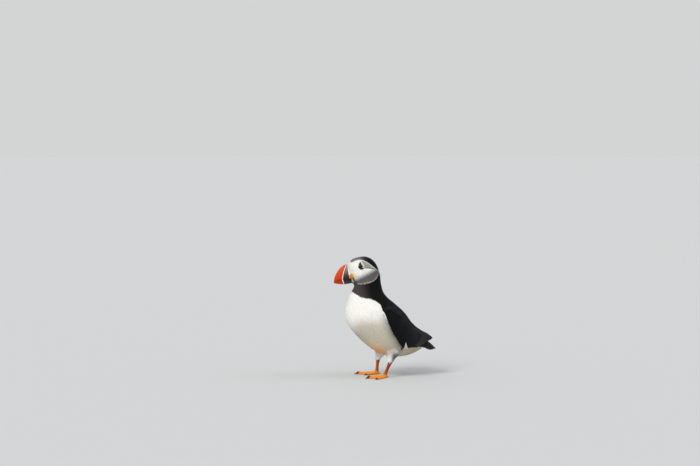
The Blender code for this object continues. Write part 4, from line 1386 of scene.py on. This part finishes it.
def soft_node(node, piece_name, material, colour, voxel=0.25, rounds=5, relief=None):
    """A solid remade finely and rounded, in its place; relief gives how far its places move outwards."""
    mesh = fused(piece_name, [node], voxel, 0.1, rounds)
    places = places_of(mesh)
    if relief is not None:
        set_places(mesh, places + outward_of(mesh) * np.reshape(relief(places), (-1, 1)))
    piece = piece_of(mesh, piece_name, material, colour(places) if callable(colour) else colour)
    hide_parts(node)


def gape_relief(middle):
    """Folds that run round the corner of the mouth."""
    def relief(places):
        gap = np.linalg.norm(places - middle, axis=1)
        return 0.4 + 0.2 * np.sin(gap * 4.2)
    return relief


def make_plate(cover, part, name, side):
    """A small horny plate on the face: a low dome with a rounded edge that sinks into the skin."""
    outline = BROW_PLATE if part == "upper" else UNDER_PLATE
    closed = np.concatenate((outline[-1:], outline, outline[:2]))
    outline = curve_at(closed, np.linspace(1, len(outline) + 1, 73)[:-1])
    middle, share = outline.mean(0), np.array((0.04, 0.3, 0.55, 0.75, 0.88, 0.95, 0.99, 1.0))
    height = np.array((1.35, 1.32, 1.25, 1.15, 1.0, 0.8, 0.4, -0.6))
    flat = middle + (outline - middle)[None] * share[:, None, None] + EYE_PLACE[1:]
    start = np.concatenate((np.full(flat.shape[:2] + (1,), 50.0 * side), flat), -1)
    start, end = turned(start) + SHIFT, turned(start * (0, 1, 1)) + SHIFT
    out, _, _ = ring_axes(node_middle("eye_" + name))
    places = np.empty(start.shape)
    for i, j in np.ndindex(start.shape[:2]):
        hit = cover.tree.ray_cast(Vector(start[i, j]), Vector(end[i, j] - start[i, j]))[0]
        places[i, j] = np.array(hit) + out * height[i]
    faces, ends = grid_faces(*places.shape[:2], around=True), grid_ends(*places.shape[:2])
    if np.cross(places[1, 1] - places[1, 0], places[2, 0] - places[1, 0]) @ out < 0:
        faces, ends = faces[:, ::-1], tuple(cap[::-1] for cap in ends)
    piece = new_piece(f"horn_plate_{part}_{name}", places, faces, "plate", srgb("221c20"), closed=ends)
    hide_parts(f"eye_plate_{part}_{name}")


def make_face_pieces(cover, name, side):
    middle = node_middle("gape_" + name)

    def gape_colour(places):
        gap = np.linalg.norm(places - middle, axis=1)
        colour = blend(srgb("df900c"), srgb("c07008"), 0.5 + 0.5 * np.sin(gap * 4.2))
        return blend(colour, srgb("f0d08a"), ease((gap - 3.4) / 1.2) * 0.7)

    relief = gape_relief(middle)
    soft_node(f"gape_{name}", f"gape_rosette_{name}", "gape", gape_colour, relief=relief)
    for part in ("upper", "lower"):
        make_plate(cover, part, name, side)


# Legs


def leg_relief(places):
    """Ring scales down the shin and along the toes, and joints that stand out."""
    x, y, z = places.T
    shin = ease((z - 6.5) / 2)
    scutes = np.abs(np.sin(z * 2.0)) ** 0.5 * shin
    toes = np.abs(np.sin(y * 2.2 + x * 0.8)) ** 0.5 * (1 - shin) * ease((z - 1.4) / 1.0)
    return 0.16 * (scutes + toes) - 0.1


def leg_paint(places):
    """Yellow-orange in front and on the toes, dull on the webs, and painted darker red behind as shade on
    the shin's back.
    """
    y, z = places[:, 1] - SHIFT[1], places[:, 2]
    colour = blend(srgb("f39a2c"), srgb("e06a0a"), ease((z - 3) / 7))
    # painted shade on the back of the shin
    colour = blend(colour, srgb("8c2e02"), ease((y + 8 - z * 0.25) / 12) * ease((z - 2) / 5))
    web = ease((1.9 - z) / 0.6) * ease((z - 0.2) / 0.3)
    return blend(colour, srgb("c9610f"), 0.6 * web)


def make_leg(name):
    """One skin over shin and webbed foot, with its three claws."""
    toes = ("inner", "middle", "outer")
    shin = places_of(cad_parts["tarsus_" + name].data)
    ankle = shin[shin[:, 2] < shin[:, 2].min() + 0.5].mean(0)
    balls = [(ankle - (0, 0, 1.2), 3.5)]
    for toe in toes:  # rounded toe tips that fill the claws' bases
        claw = places_of(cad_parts[f"claw_{toe}_{name}"].data)
        gap = np.linalg.norm(claw - ankle, axis=1)
        balls.append((claw[gap < gap.min() + 1.2].mean(0), 1.5))
    mesh = fused("leg_skin_" + name, ["foot_" + name, "tarsus_" + name], 0.42, 0.25, 5, balls)
    places = places_of(mesh)
    moved = places + outward_of(mesh) * leg_relief(places)[:, None]
    moved[:, 2] = np.maximum(moved[:, 2], 0.0)
    set_places(mesh, moved)
    piece = piece_of(mesh, "leg_skin_" + name, "leg", leg_paint(places))
    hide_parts("foot_" + name, "tarsus_" + name)
    for toe in toes:
        node, piece_name = f"claw_{toe}_{name}", f"claw_horn_{toe}_{name}"
        soft_node(node, piece_name, "claw", srgb("1a1411"), 0.2, 2, lambda places: 0.25)
    return mesh


# Stage


def make_stage():
    """A pale seamless floor under soft studio light."""
    material, _, _ = new_material("studio_floor", roughness=0.85, base_color=(*srgb("c5c7c9"), 1))
    bm = bmesh.new()
    bmesh.ops.create_circle(bm, cap_ends=True, segments=96, radius=40)
    mesh = bpy.data.meshes.new("studio_floor")
    bm.to_mesh(mesh)
    bm.free()
    mesh.materials.append(material)
    floor = bpy.data.objects.new("studio_floor", mesh)
    bpy.context.scene.collection.objects.link(floor)

    world = bpy.data.worlds.new("studio_air")
    world.use_nodes = True
    air = world.node_tree.nodes["Background"]
    air.inputs["Color"].default_value = (*srgb("e9ebea"), 1)
    air.inputs["Strength"].default_value = 0.8
    bpy.context.scene.world = world
    # a broad, warm light from the bird's front left and above, and a weaker, cooler one from behind
    for name, direction, strength, width, colour in (
        ("key_light", (0.75, -1.0, 1.15), 1.9, 25, (1.0, 0.97, 0.92)),
        ("back_light", (0.3, 1.0, 0.9), 0.5, 40, (0.92, 0.95, 1.0)),
    ):
        light = bpy.data.lights.new(name, "SUN")
        light.energy, light.angle, light.color = strength, math.radians(width), colour
        lamp = bpy.data.objects.new(name, light)
        lamp.location = Vector(direction)
        lamp.rotation_euler = (-Vector(direction)).to_track_quat("-Z", "Y").to_euler()
        bpy.context.scene.collection.objects.link(lamp)
    bpy.context.scene.view_settings.view_transform = "Standard"


# Where the camera stands, in metres, which way it looks from, and how far it looks down
CAMERA_PLACE, CAMERA_TURN, CAMERA_PITCH = (3.1691, -0.9020, 0.4044), math.radians(75), math.radians(2.8)


def make_camera():
    """Looks at the bird's left side from a little in front of square, from above its head height."""
    camera = bpy.data.cameras.new("camera")
    camera.lens, camera.sensor_width = 100, 36
    holder = bpy.data.objects.new("camera", camera)
    holder.location = Vector(CAMERA_PLACE) + Vector(SHIFT) * MM
    level = Vector((-math.sin(CAMERA_TURN), math.cos(CAMERA_TURN), 0))
    ahead = level * math.cos(CAMERA_PITCH) - Vector((0, 0, math.sin(CAMERA_PITCH)))
    holder.rotation_euler = ahead.to_track_quat("-Z", "Y").to_euler()
    bpy.context.scene.collection.objects.link(holder)
    bpy.context.scene.camera = holder


make_camera()
make_stage()
skin_mesh = make_skin()
arms = [wing_plate("left", skin_mesh), wing_plate("right", skin_mesh)]
leg_meshes = [make_leg("left"), make_leg("right")]
plumage_cover = Cover([skin_mesh, *leg_meshes], arms)
dress_body(skin_mesh, plumage_cover)
for wing_name, wing_side in (("left", 1), ("right", -1)):
    wing_face = WingFace(plumage_cover, wing_side)
    dress_wing(wing_face, wing_name)
    dress_shoulder(plumage_cover, wing_face, wing_name, wing_side)
    dress_wing_front(plumage_cover, wing_name, wing_side)
    if wing_side > 0:  # the breeze comes from that side
        dress_flank(plumage_cover, wing_name, wing_side)
    make_eye(wing_name)
    make_face_pieces(plumage_cover, wing_name, wing_side)
dress_tail()
make_bill()
make_cere()
